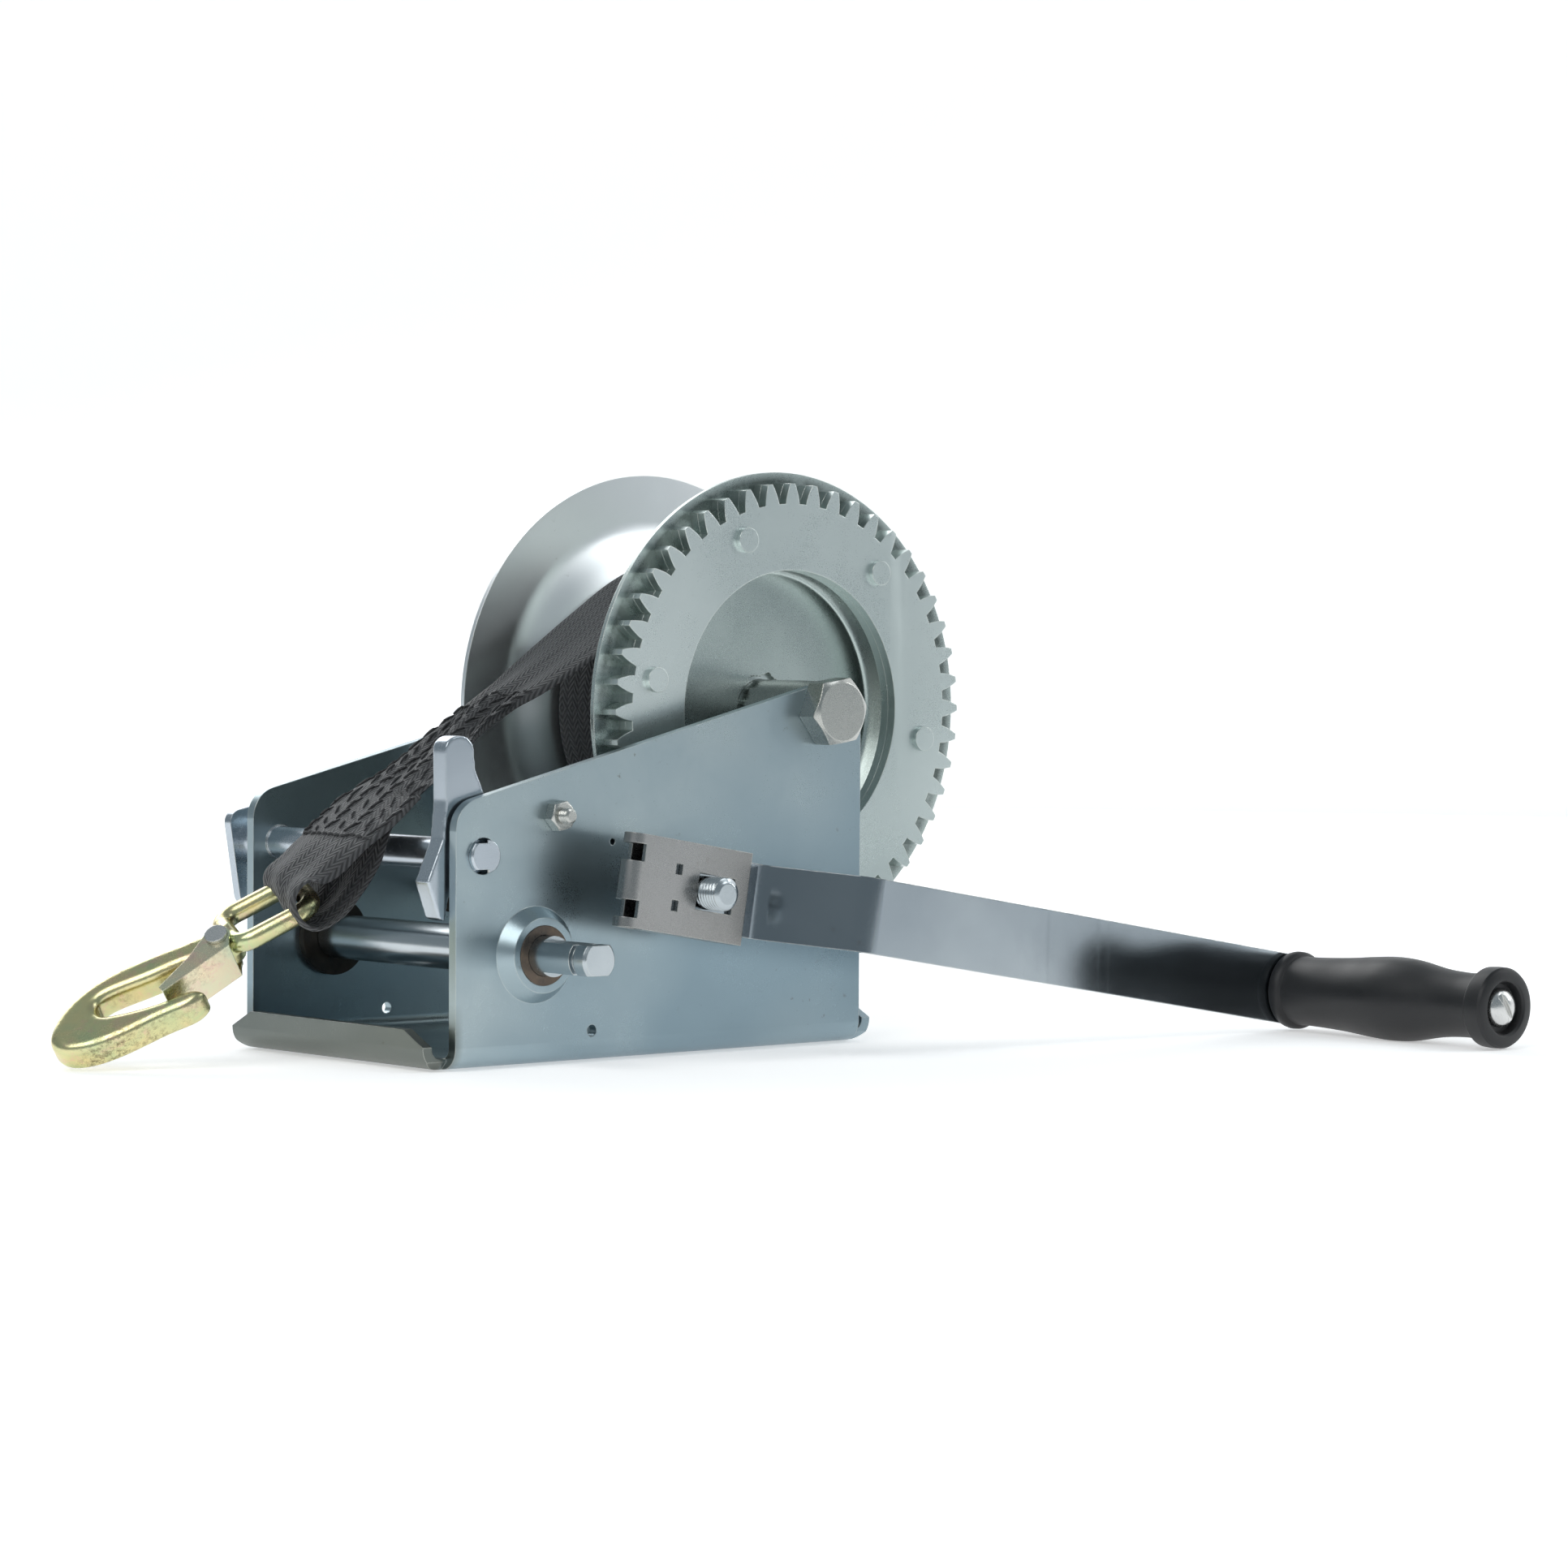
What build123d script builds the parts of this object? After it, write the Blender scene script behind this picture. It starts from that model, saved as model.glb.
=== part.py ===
from build123d import *
from math import atan2, cos, degrees, hypot, pi, radians, sin, sqrt, tan
import os

# A two-speed boat trailer winch: a bent steel frame, a geared drum with a 50 mm strap, two crank
# shafts, a reversing pawl, a crank with a quick-release clip, and a snap hook on the strap.
# Millimetres. +X runs to the drum end, +Y to the side without the crank, +Z up. The origin is the
# middle of the base's bottom face.

# ---- frame -------------------------------------------------------------------------------------
frame_width = 131.0
plate_length = 195.4
sheet = 4.0
bend_radius = 8.0
plate_front_height = 95.8
plate_top_slope = 0.245
plate_front_corner = 12.0
plate_rear_corner = 15.0
lip_reach = 10.5
lip_height = 14.5
lip_top_half = 48.0
lip_end_half = 60.0
lip_end_height = 8.5
mount_spacing_x = 120.0
mount_spacing_y = 76.0
mount_hole_radius = 5.25

half_width = frame_width / 2
half_length = plate_length / 2
inner_face = half_width - sheet

# ---- gears and shaft places (x, z) -------------------------------------------------------------
gear_module = 3.5
pressure_angle = 20.0
drum_teeth = 48
pinion_teeth = 12
reduction_teeth = 24
backlash = 0.5
drum_axis = (79.5, 128.0)
shaft_a_axis = (-61.5, 40.5)
pawl_axis = (-85.4, 77.2)


def meeting_point(first, first_distance, second, second_distance):
    """The lower of the two points at the given distances from two others."""
    dx, dz = second[0] - first[0], second[1] - first[1]
    apart = hypot(dx, dz)
    along = (first_distance**2 - second_distance**2 + apart**2) / (2 * apart)
    aside = sqrt(first_distance**2 - along**2)
    return (
        first[0] + (along * dx + aside * dz) / apart,
        first[1] + (along * dz - aside * dx) / apart,
    )


drum_to_b = gear_module * (drum_teeth + pinion_teeth) / 2
a_to_b = gear_module * (pinion_teeth + reduction_teeth) / 2
shaft_b_axis = meeting_point(shaft_a_axis, a_to_b, drum_axis, drum_to_b)

# ---- places along the shafts (y) ---------------------------------------------------------------
gear_front = -45.9
gear_plate = 4.0
flange_sheet = 2.0
dish_depth = 9.0
flange_near = gear_front + 2 * gear_plate
flange_far = 42.3
near_disc = flange_near + flange_sheet + dish_depth
far_disc = flange_far - dish_depth
drum_pinion_span = (-48.6, flange_near - 0.4)
low_gear_span = (-59.5, -51.5)
pawl_span = (-60.0, -52.0)

# ---- drum and strap ----------------------------------------------------------------------------
flange_radius = 91.8
dish_radius = 54.0
dish_slope = 6.0
gear_bore = 54.0
rivet_circle = 69.5
rivet_count = 6
rivet_radius = 3.0
rivet_turn = 50.0
axle_radius = 8.0
spacer_radius = 11.5
core_radius = 17.0
running_gap = 0.06
strap_width = 50.0
strap_thickness = 1.5
roll_radius = 56.3
strap_middle = (near_disc + far_disc) / 2
strap_pin_radius = 3.0

# ---- crank -------------------------------------------------------------------------------------
crank_angle = 9.6
crank_reach = 280.0
arm_width = 28.0
arm_thickness = 6.0
arm_inner_plane = -90.0
arm_outer_plane = -127.0
jog_start = 28.0
jog_end = 48.0
shaft_b_tip = -104.4
shaft_a_tip = -103.5
clip_face = -95.0
clip_sheet = 1.8
clip_half = 17.3
clip_front = -33.0
clip_rear = 17.5
grip_end = -241.0
grip_pin_radius = 5.0

# ---- hook --------------------------------------------------------------------------------------
hook_eye = (-130.5, 6.0, 54.2)
hook_slope = 27.3
hook_swing = 27.5
hook_roll = -35.0
eye_roll = -17.0

crank_along = Vector(cos(radians(crank_angle)), 0, -sin(radians(crank_angle)))
crank_up = Vector(sin(radians(crank_angle)), 0, cos(radians(crank_angle)))
grip_axis = (
    shaft_b_axis[0] + crank_reach * crank_along.X,
    shaft_b_axis[1] + crank_reach * crank_along.Z,
)

os.makedirs("parts", exist_ok=True)


def save(builder, label):
    """Label a finished piece and write its file."""
    builder.part.label = label
    export_step(builder.part, f"parts/{label}.step")


def side_plane(axis, y, turn=0.0):
    """A plane across a shaft: its normal is -Y, its x along +X, its y along +Z."""
    plane = Plane(origin=(axis[0], y, axis[1]), x_dir=(1, 0, 0), z_dir=(0, -1, 0))
    return plane.rotated((0, 0, turn))


def turned(axis, stations):
    """A piece of revolution about a shaft along Y, from (y, radius) stations at the far end first."""
    profile_plane = Plane(origin=(axis[0], 0, axis[1]), x_dir=(1, 0, 0), z_dir=(0, 0, 1))
    with BuildPart() as piece:
        with BuildSketch(profile_plane):
            with BuildLine():
                first, last = stations[0][0], stations[-1][0]
                outline = [(0, first)] + [(radius, y) for y, radius in stations] + [(0, last)]
                Polyline(*outline, close=True)
            make_face()
        revolve(axis=Axis((axis[0], 0, axis[1]), (0, 1, 0)))
    return piece


def disc(axis, near, far, radius, bore=0.0):
    """A washer, ring or plain disc about a shaft, from y = near to y = far."""
    with BuildPart() as piece:
        with BuildSketch(side_plane(axis, far)):
            Circle(radius)
            if bore:
                Circle(bore, mode=Mode.SUBTRACT)
        extrude(amount=far - near)
    return piece


# ---- gears -------------------------------------------------------------------------------------
def involute(base, radius):
    """The angle, in radians, that an involute has turned when it reaches a radius."""
    reach = sqrt(max((radius / base) ** 2 - 1, 0))
    return reach - atan2(reach, 1)


def tooth_face(teeth):
    """One tooth about the +X direction, from inside the root circle to the tip."""
    pitch = gear_module * teeth / 2
    base = pitch * cos(radians(pressure_angle))
    tip = pitch + gear_module
    root = pitch - 1.25 * gear_module
    half_angle = (pi * gear_module / 2 - backlash) / 2 / pitch + involute(base, pitch)
    start = max(base, root)
    steps = [start + (tip - start) * k / 4 for k in range(5)]
    flank = [(r, half_angle - involute(base, r)) for r in steps]
    # Below the base circle the flank is relieved, as a cutter leaves it on a small pinion.
    foot = [(root - 1.0, half_angle * 0.72)] if base > root else [(root - 1.0, half_angle)]
    upper = [(r * cos(t), r * sin(t)) for r, t in flank]
    lower = [(x, -y) for x, y in upper]
    foot_x, foot_y = foot[0][0] * cos(foot[0][1]), foot[0][0] * sin(foot[0][1])
    with BuildSketch() as tooth:
        with BuildLine():
            Spline(*upper)
            Line(upper[-1], lower[-1])
            Spline(*lower)
            Line(lower[0], (foot_x, -foot_y))
            Line((foot_x, -foot_y), (foot_x, foot_y))
            Line((foot_x, foot_y), upper[0])
        make_face()
    return tooth.sketch.face()


def gear(axis, span, teeth, bore, turn, riveted=False):
    """A spur gear about a shaft, with one tooth at the angle turn from +X towards +Z."""
    root = gear_module * (teeth / 2 - 1.25)
    tooth = tooth_face(teeth)
    with BuildPart() as piece:
        with BuildSketch(side_plane(axis, span[1])):
            Circle(root)
            with PolarLocations(0, teeth, start_angle=turn):
                add(tooth)
            Circle(bore, mode=Mode.SUBTRACT)
            if riveted:
                with PolarLocations(rivet_circle, rivet_count, start_angle=rivet_turn):
                    Circle(rivet_radius, mode=Mode.SUBTRACT)
        extrude(amount=span[1] - span[0])
    return piece


def direction(start, end):
    """The angle from +X towards +Z of the line from one shaft to another."""
    return degrees(atan2(end[1] - start[1], end[0] - start[0]))


# The drum gear has a tooth straight up. Each mating gear has a gap where its partner has a tooth.
drum_turn = 90.0
drum_to_b_angle = direction(drum_axis, shaft_b_axis)
tooth_phase = (drum_to_b_angle - drum_turn) / (360 / drum_teeth) % 1
pinion_pitch = 360 / pinion_teeth
b_to_drum_angle = drum_to_b_angle + 180
drum_pinion_turn = b_to_drum_angle + (tooth_phase + 0.5) * pinion_pitch
# The low pinion has a gap facing the pawl's axle, where either claw drops in.
a_to_pawl_angle = direction(shaft_a_axis, pawl_axis)
low_pinion_turn = a_to_pawl_angle + pinion_pitch / 2
a_to_b_angle = direction(shaft_a_axis, shaft_b_axis)
low_phase = (a_to_b_angle - low_pinion_turn) / pinion_pitch % 1
reduction_turn = a_to_b_angle + 180 + (low_phase + 0.5) * 360 / reduction_teeth

for label, span in (
    ("gear_plate_front", (gear_front, gear_front + gear_plate)),
    ("gear_plate_rear", (gear_front + gear_plate, flange_near)),
):
    save(gear(drum_axis, span, drum_teeth, gear_bore, drum_turn, riveted=True), label)

shaft_b_seat = 9.0
shaft_a_seat = 8.5
save(gear(shaft_b_axis, drum_pinion_span, pinion_teeth, shaft_b_seat, drum_pinion_turn), "drum_pinion")
save(gear(shaft_b_axis, low_gear_span, reduction_teeth, shaft_b_seat, reduction_turn), "reduction_gear")
save(gear(shaft_a_axis, low_gear_span, pinion_teeth, shaft_a_seat, low_pinion_turn), "low_pinion")

# ---- frame: one bent sheet with two side plates and an upturned lip at each end -----------------
plate_rear_height = plate_front_height + plate_top_slope * plate_length
collar_height = 5.5
collar_foot = 18.5
collar_top = 13.8
bush_bore_seat = 11.0
shaft_b_bush_seat = 12.0
pawl_hole = 6.68
stop_axis = (-52.0, 91.1)
stop_radius = 3.0
pin_hole = (-25.3, 80.8)
pin_hole_radius = 1.25
tooling_hole = (-34.8, 11.3)
tooling_hole_radius = 2.2
tray_length = plate_length + 2 * lip_reach
with BuildPart() as channel:
    with BuildSketch(Plane.YZ.offset(-half_length)) as section:
        with Locations((0, plate_rear_height / 2)):
            Rectangle(frame_width, plate_rear_height)
        fillet(section.vertices().group_by(Axis.Y)[0], bend_radius)
        with BuildSketch(mode=Mode.SUBTRACT) as hollow:
            with Locations((0, sheet + plate_rear_height / 2)):
                Rectangle(2 * inner_face, plate_rear_height)
            fillet(hollow.vertices().group_by(Axis.Y)[0], bend_radius - sheet)
    extrude(amount=plate_length)
    with BuildSketch(Plane.XZ) as side:
        with BuildLine():
            Polyline(
                (-half_length, 0),
                (half_length, 0),
                (half_length, plate_rear_height),
                (-half_length, plate_front_height),
                close=True,
            )
        make_face()
        fillet(side.vertices().group_by(Axis.X)[-1].sort_by(Axis.Y)[-1], plate_rear_corner)
        fillet(side.vertices().group_by(Axis.X)[0].sort_by(Axis.Y)[-1], plate_front_corner)
    extrude(amount=half_width, both=True, mode=Mode.INTERSECT)

with BuildPart() as lips:
    with BuildSketch(Plane.XZ) as tray:
        with Locations((0, lip_height / 2)):
            Rectangle(tray_length, lip_height)
        fillet(tray.vertices().group_by(Axis.Y)[0], bend_radius)
        with BuildSketch(mode=Mode.SUBTRACT) as pan:
            with Locations((0, sheet + lip_height / 2)):
                Rectangle(tray_length - 2 * sheet, lip_height)
            fillet(pan.vertices().group_by(Axis.Y)[0], bend_radius - sheet)
        Rectangle(plate_length - 2, 4 * lip_height, mode=Mode.SUBTRACT)
    extrude(amount=lip_end_half, both=True)
    with BuildSketch(Plane.YZ):
        with BuildLine():
            Polyline(
                (-lip_end_half + 3, 0),
                (-lip_end_half, 3),
                (-lip_end_half, lip_end_height),
                (-lip_top_half, lip_height),
                (lip_top_half, lip_height),
                (lip_end_half, lip_end_height),
                (lip_end_half, 3),
                (lip_end_half - 3, 0),
                close=True,
            )
        make_face()
    extrude(amount=tray_length, both=True, mode=Mode.INTERSECT)

with BuildPart() as frame:
    add(channel.part)
    add(lips.part)
    # Collars drawn outwards round the lower shaft, one in each side plate.
    for side_sign in (-1, 1):
        collar_plane = Plane(
            origin=(shaft_a_axis[0], side_sign * (half_width - 1), shaft_a_axis[1]),
            x_dir=(1, 0, 0),
            z_dir=(0, side_sign, 0),
        )
        with BuildSketch(collar_plane):
            Circle(collar_foot)
        with BuildSketch(collar_plane.offset(collar_height + 1)):
            Circle(collar_top)
        loft()
    # Holes for the bushes, the drum bolt, the pawl axle, the stop bolt and two small ones.
    with BuildSketch(side_plane(shaft_a_axis, half_width + 10)):
        Circle(bush_bore_seat)
    extrude(amount=frame_width + 20, mode=Mode.SUBTRACT)
    with BuildSketch(side_plane(shaft_b_axis, half_width + 10)):
        Circle(shaft_b_bush_seat)
    extrude(amount=frame_width + 20, mode=Mode.SUBTRACT)
    with BuildSketch(side_plane(drum_axis, half_width + 10)):
        Circle(axle_radius)
    extrude(amount=frame_width + 20, mode=Mode.SUBTRACT)
    with BuildSketch(side_plane(pawl_axis, half_width + 10)):
        Circle(pawl_hole)
    extrude(amount=frame_width + 20, mode=Mode.SUBTRACT)
    with BuildSketch(side_plane((0, 0), -inner_face)):
        with Locations(stop_axis):
            Circle(stop_radius)
        with Locations(pin_hole):
            Circle(pin_hole_radius)
    extrude(amount=sheet, mode=Mode.SUBTRACT)
    with BuildSketch(side_plane(tooling_hole, half_width)):
        Circle(tooling_hole_radius)
    extrude(amount=frame_width, mode=Mode.SUBTRACT)
    with BuildSketch(Plane.XY):
        with GridLocations(mount_spacing_x, mount_spacing_y, 2, 2):
            Circle(mount_hole_radius)
    extrude(amount=sheet, mode=Mode.SUBTRACT)
save(frame, "frame")


# ---- bushes, bolts and rings that stay with the frame -------------------------------------------
def flanged_bush(axis, seat, bore, flange, sign, barrel_end, flange_end):
    """A flanged bush in a side plate, its flange against the plate's inner face."""
    with BuildPart() as piece:
        near, far = sorted((sign * inner_face, sign * barrel_end))
        with BuildSketch(side_plane(axis, far)):
            Circle(seat)
        extrude(amount=far - near)
        near, far = sorted((sign * inner_face, sign * flange_end))
        with BuildSketch(side_plane(axis, far)):
            Circle(flange)
        extrude(amount=far - near)
        with BuildSketch(side_plane(axis, 100)):
            Circle(bore)
        extrude(amount=200, mode=Mode.SUBTRACT)
    return piece


shaft_a_end = 7.5
shaft_b_end = 9.0
collar_face = half_width + collar_height + 0.3
shaft_a_bore = shaft_a_end + running_gap
shaft_b_bore = shaft_b_end + running_gap
for label, axis, seat, bore, flange, sign, barrel_end, flange_end in (
    ("bush_a_right", shaft_a_axis, bush_bore_seat, shaft_a_bore, 14.0, -1, collar_face, 60.2),
    ("bush_a_left", shaft_a_axis, bush_bore_seat, shaft_a_bore, 15.0, 1, collar_face, 58.5),
    ("bush_b_right", shaft_b_axis, shaft_b_bush_seat, shaft_b_bore, 15.0, -1, half_width + 1, 60.2),
    ("bush_b_left", shaft_b_axis, shaft_b_bush_seat, shaft_b_bore, 15.0, 1, half_width + 1, 60.2),
):
    save(flanged_bush(axis, seat, bore, flange, sign, barrel_end, flange_end), label)


def hexagon_piece(axis, near, far, across_flats, bore=0.0, turn=0.0):
    """A hexagon nut or bolt head along Y."""
    with BuildPart() as piece:
        with BuildSketch(side_plane(axis, far)):
            RegularPolygon(across_flats / 2, 6, major_radius=False, rotation=turn)
            if bore:
                Circle(bore, mode=Mode.SUBTRACT)
        extrude(amount=far - near)
        rounding = across_flats * 0.62
        with BuildSketch(side_plane(axis, far + 1)):
            Circle(rounding)
        extrude(amount=far - near + 2, mode=Mode.INTERSECT)
    return piece


axle_head = 10.0
axle_nut_span = (68.5, 81.5)
with BuildPart() as axle_bolt:
    add(hexagon_piece(drum_axis, -half_width - axle_head, -half_width, 24.0, turn=8).part)
    with BuildSketch(side_plane(drum_axis, 85.0)):
        Circle(axle_radius - running_gap)
    extrude(amount=85.0 + half_width + 1)
    chamfer(axle_bolt.faces().sort_by(Axis.Y)[-1].edges(), 1.0)
save(axle_bolt, "axle_bolt")
save(hexagon_piece(drum_axis, *axle_nut_span, 24.0, axle_radius), "axle_nut")
save(disc(drum_axis, half_width, axle_nut_span[0], 15.0, axle_radius), "axle_washer")
save(disc(drum_axis, -inner_face, inner_face, spacer_radius, axle_radius), "axle_spacer")

stop_sleeve_end = -50.0
with BuildPart() as stop_bolt:
    add(hexagon_piece(stop_axis, stop_sleeve_end, stop_sleeve_end + 4, 10.0).part)
    with BuildSketch(side_plane(stop_axis, stop_sleeve_end + 1)):
        Circle(stop_radius)
    extrude(amount=75.0 + stop_sleeve_end + 1)
    chamfer(stop_bolt.faces().sort_by(Axis.Y)[0].edges(), 0.6)
save(stop_bolt, "stop_bolt")
save(disc(stop_axis, -inner_face, stop_sleeve_end, 5.0, stop_radius), "stop_sleeve")
save(hexagon_piece(stop_axis, -half_width - 5, -half_width, 10.0, stop_radius, turn=12), "stop_nut")


# ---- drum ---------------------------------------------------------------------------------------
def ring_of(outline, riveted=False):
    """A solid of revolution about the drum's axis from (radius, y) corners."""
    with BuildPart() as piece:
        with BuildSketch(Plane(origin=(drum_axis[0], 0, drum_axis[1]), z_dir=(0, 0, 1))):
            with BuildLine():
                Polyline(*outline, close=True)
            make_face()
        revolve(axis=Axis((drum_axis[0], 0, drum_axis[1]), (0, 1, 0)))
        if riveted:
            with BuildSketch(side_plane(drum_axis, 0)):
                with PolarLocations(rivet_circle, rivet_count, start_angle=rivet_turn):
                    Circle(rivet_radius)
            extrude(amount=half_width, mode=Mode.SUBTRACT)
    return piece


def save_flange(side, rim_outer, disc_outer, inward):
    """A dished flange in three nodes that meet: the flat rim, the sloping wall and the disc."""
    thick = inward * flange_sheet
    foot = dish_radius + dish_slope
    bend = 1.0
    rim = (
        (foot, rim_outer),
        (flange_radius, rim_outer),
        (flange_radius, rim_outer + thick),
        (foot + bend, rim_outer + thick),
    )
    wall = (
        (dish_radius, disc_outer),
        (foot, rim_outer),
        (foot + bend, rim_outer + thick),
        (dish_radius + bend, disc_outer + thick),
    )
    plate = (
        (flange_bore, disc_outer),
        (dish_radius, disc_outer),
        (dish_radius + bend, disc_outer + thick),
        (flange_bore, disc_outer + thick),
    )
    save(ring_of(rim, riveted=side == "near"), "flange_rim_" + side)
    save(ring_of(wall), "flange_wall_" + side)
    save(ring_of(plate), "flange_disc_" + side)


flange_bore = 14.0
save_flange("near", flange_near, near_disc - flange_sheet, 1)
save_flange("far", flange_far + flange_sheet, far_disc + flange_sheet, -1)
save(disc(drum_axis, near_disc, far_disc, core_radius, spacer_radius + running_gap), "drum_core")

with BuildPart() as gear_rivets:
    rivet_back = flange_near + flange_sheet
    for start, depth, radius in (
        (gear_front, 2.0, 4.8),
        (rivet_back, rivet_back - gear_front, rivet_radius),
        (rivet_back + 1.5, 1.5, 4.5),
    ):
        with BuildSketch(side_plane(drum_axis, start)):
            with PolarLocations(rivet_circle, rivet_count, start_angle=rivet_turn):
                Circle(radius)
        extrude(amount=depth)
save(gear_rivets, "gear_rivets")

strap_pin_axis = (drum_axis[0], drum_axis[1] + core_radius + strap_pin_radius + 1.5)
save(disc(strap_pin_axis, near_disc, far_disc, strap_pin_radius), "strap_pin")
with BuildPart() as strap_roll:
    with BuildSketch(side_plane(drum_axis, strap_middle + strap_width / 2)):
        Circle(roll_radius)
        Circle(core_radius + 0.3, mode=Mode.SUBTRACT)
        with Locations((0, core_radius + strap_pin_radius + 1.5)):
            Circle(strap_pin_radius + 0.2, mode=Mode.SUBTRACT)
    extrude(amount=strap_width)
save(strap_roll, "strap_roll")

# ---- shafts -------------------------------------------------------------------------------------
drive_flats = 11.0


def crank_side(y):
    """A plane across the crank's shaft, its x along the arm."""
    return Plane(
        origin=(shaft_b_axis[0], y, shaft_b_axis[1]),
        x_dir=crank_along,
        z_dir=(0, -1, 0),
    )


def flatted(piece, plane, near, far, across):
    """The same piece with two flats between two stations; the plane stands at the far one."""
    with BuildPart() as result:
        add(piece.part)
        with BuildSketch(plane):
            Rectangle(60, 60)
            Rectangle(60, across, mode=Mode.SUBTRACT)
        extrude(amount=far - near, mode=Mode.SUBTRACT)
    return result


shaft_a = turned(
    shaft_a_axis,
    [
        (shaft_a_tip, 6.5),
        (shaft_a_tip + 1, shaft_a_end),
        (-97.0, shaft_a_end),
        (-97.0, 5.9),
        (-94.5, 5.9),
        (-94.5, shaft_a_end),
        (-59.9, shaft_a_end),
        (-59.9, shaft_a_seat),
        (58.2, shaft_a_seat),
        (58.2, shaft_a_end),
        (73.5, shaft_a_end),
    ],
)
save(flatted(shaft_a, side_plane(shaft_a_axis, -77.0), shaft_a_tip, -77.0, drive_flats), "shaft_a")
save(disc(shaft_a_axis, collar_face + 0.2, collar_face + 1.4, 10.5, shaft_a_end), "shaft_a_ring")

arm_near = arm_inner_plane - arm_thickness / 2
arm_far = arm_inner_plane + arm_thickness / 2
drive_radius = 7.5
shaft_b = turned(
    shaft_b_axis,
    [
        (shaft_b_tip, 5.0),
        (shaft_b_tip + 1.4, 6.2),
        (arm_near, 6.2),
        (arm_near, drive_radius),
        (arm_far, drive_radius),
        (arm_far, shaft_b_end),
        (70.0, shaft_b_end),
    ],
)
save(flatted(shaft_b, crank_side(arm_far), arm_near, arm_far, drive_flats), "shaft_b")
save(disc(shaft_b_axis, 66.8, 68.3, 12.5, shaft_b_end), "shaft_b_ring")

# ---- pawl: a rocking lever with a claw each side of its axle ------------------------------------
pawl_bore = 6.0
pawl_outline = (
    (-13.2, 43.4),
    (-12.6, 20.0),
    (-14.0, 6.0),
    (-20.8, -9.0),
    (-15.9, -22.4),
    (-13.0, -23.6),
    (-11.2, -14.6),
    (-5.0, -12.0),
    (12.0, -9.0),
    (24.1, -11.9),
    (25.4, -9.0),
    (25.6, -2.0),
    (23.0, 4.0),
    (13.0, 13.0),
    (5.4, 21.0),
    (0.8, 31.0),
    (-0.6, 43.4),
)
with BuildPart() as pawl:
    with BuildSketch(side_plane(pawl_axis, pawl_span[1])) as pawl_face:
        with BuildLine():
            Polyline(*pawl_outline, close=True)
        make_face()
        fillet(pawl_face.vertices().group_by(Axis.Y)[-1], 5.5)
        Circle(12.0)
        Circle(pawl_bore, mode=Mode.SUBTRACT)
    extrude(amount=pawl_span[1] - pawl_span[0])
save(pawl, "pawl")
save(disc(pawl_axis, -inner_face + 0.1, pawl_span[0], 9.5, pawl_bore), "pawl_washer")

pawl_axle = turned(
    pawl_axis,
    [
        (-half_width - 2.2, 6.0),
        (-half_width - 1.6, 6.62),
        (-inner_face, 6.62),
        (-inner_face, pawl_bore),
        (inner_face, pawl_bore),
        (inner_face, 6.62),
        (half_width + 1, 6.62),
        (half_width + 1, 9.0),
        (76.0, 9.0),
        (76.0, 5.0),
        (81.5, 5.0),
    ],
)
key_end = -inner_face - 0.2
key_plane = side_plane(pawl_axis, key_end, 5)
save(flatted(pawl_axle, key_plane, -half_width - 2.2, key_end, 9.6), "pawl_axle")
with BuildPart() as pawl_lever:
    with BuildSketch(side_plane(pawl_axis, 80.0)) as lever_face:
        with BuildLine():
            Polyline((-13.5, 11.0), (15.0, 17.0), (11.0, -23.0), (-7.6, -25.5), close=True)
        make_face()
        fillet(lever_face.vertices(), 5.0)
        Circle(5.0, mode=Mode.SUBTRACT)
    extrude(amount=4.0)
save(pawl_lever, "pawl_lever")

# The spring's coil is round the pawl's axle and its leg bears on the stop sleeve.
spring_wire = 1.4
coil_end = -45.5
leg_angle = direction(pawl_axis, stop_axis)
leg_reach = hypot(stop_axis[0] - pawl_axis[0], stop_axis[1] - pawl_axis[1])
with BuildPart() as pawl_spring:
    with BuildSketch(side_plane(pawl_axis, coil_end)):
        Circle(8.8)
        Circle(7.2, mode=Mode.SUBTRACT)
    extrude(amount=coil_end - pawl_span[1] - 0.2)
    with BuildSketch(side_plane(pawl_axis, pawl_span[1] + 0.2 + spring_wire)):
        with Locations(Location((0, 0, 0), (0, 0, leg_angle))):
            with Locations((leg_reach / 2 + 2, 7.9)):
                Rectangle(leg_reach + 4, spring_wire)
    extrude(amount=spring_wire)
save(pawl_spring, "pawl_spring")

# ---- crank --------------------------------------------------------------------------------------
crank_plan = Plane(
    origin=(shaft_b_axis[0], 0, shaft_b_axis[1]),
    x_dir=crank_along,
    z_dir=crank_up,
)

arm_half = arm_thickness / 2
arm_hub_end = -22.0
with BuildPart() as crank_arm:
    with BuildSketch(crank_plan):
        with BuildLine():
            FilletPolyline(
                (arm_hub_end, arm_inner_plane),
                (jog_start, arm_inner_plane),
                (jog_end, arm_outer_plane),
                (crank_reach + arm_width / 2, arm_outer_plane),
                radius=9.0,
            )
        trace(line_width=arm_thickness)
    extrude(amount=arm_width / 2, both=True)
    with BuildSketch(crank_side(0)) as arm_face:
        with Locations(((arm_hub_end + crank_reach) / 2, 0)):
            Rectangle(crank_reach - arm_hub_end, arm_width)
        chamfer(arm_face.vertices().group_by(Axis.X)[0], 6)
        with Locations((crank_reach, 0)):
            Circle(arm_width / 2)
    extrude(amount=200, mode=Mode.INTERSECT)
    with BuildSketch(crank_side(0)) as holes:
        Rectangle(2 * drive_radius, drive_flats)
        Circle(drive_radius, mode=Mode.INTERSECT)
        with Locations((crank_reach, 0)):
            Circle(grip_pin_radius)
    extrude(amount=200, mode=Mode.SUBTRACT)
save(crank_arm, "crank_arm")

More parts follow.
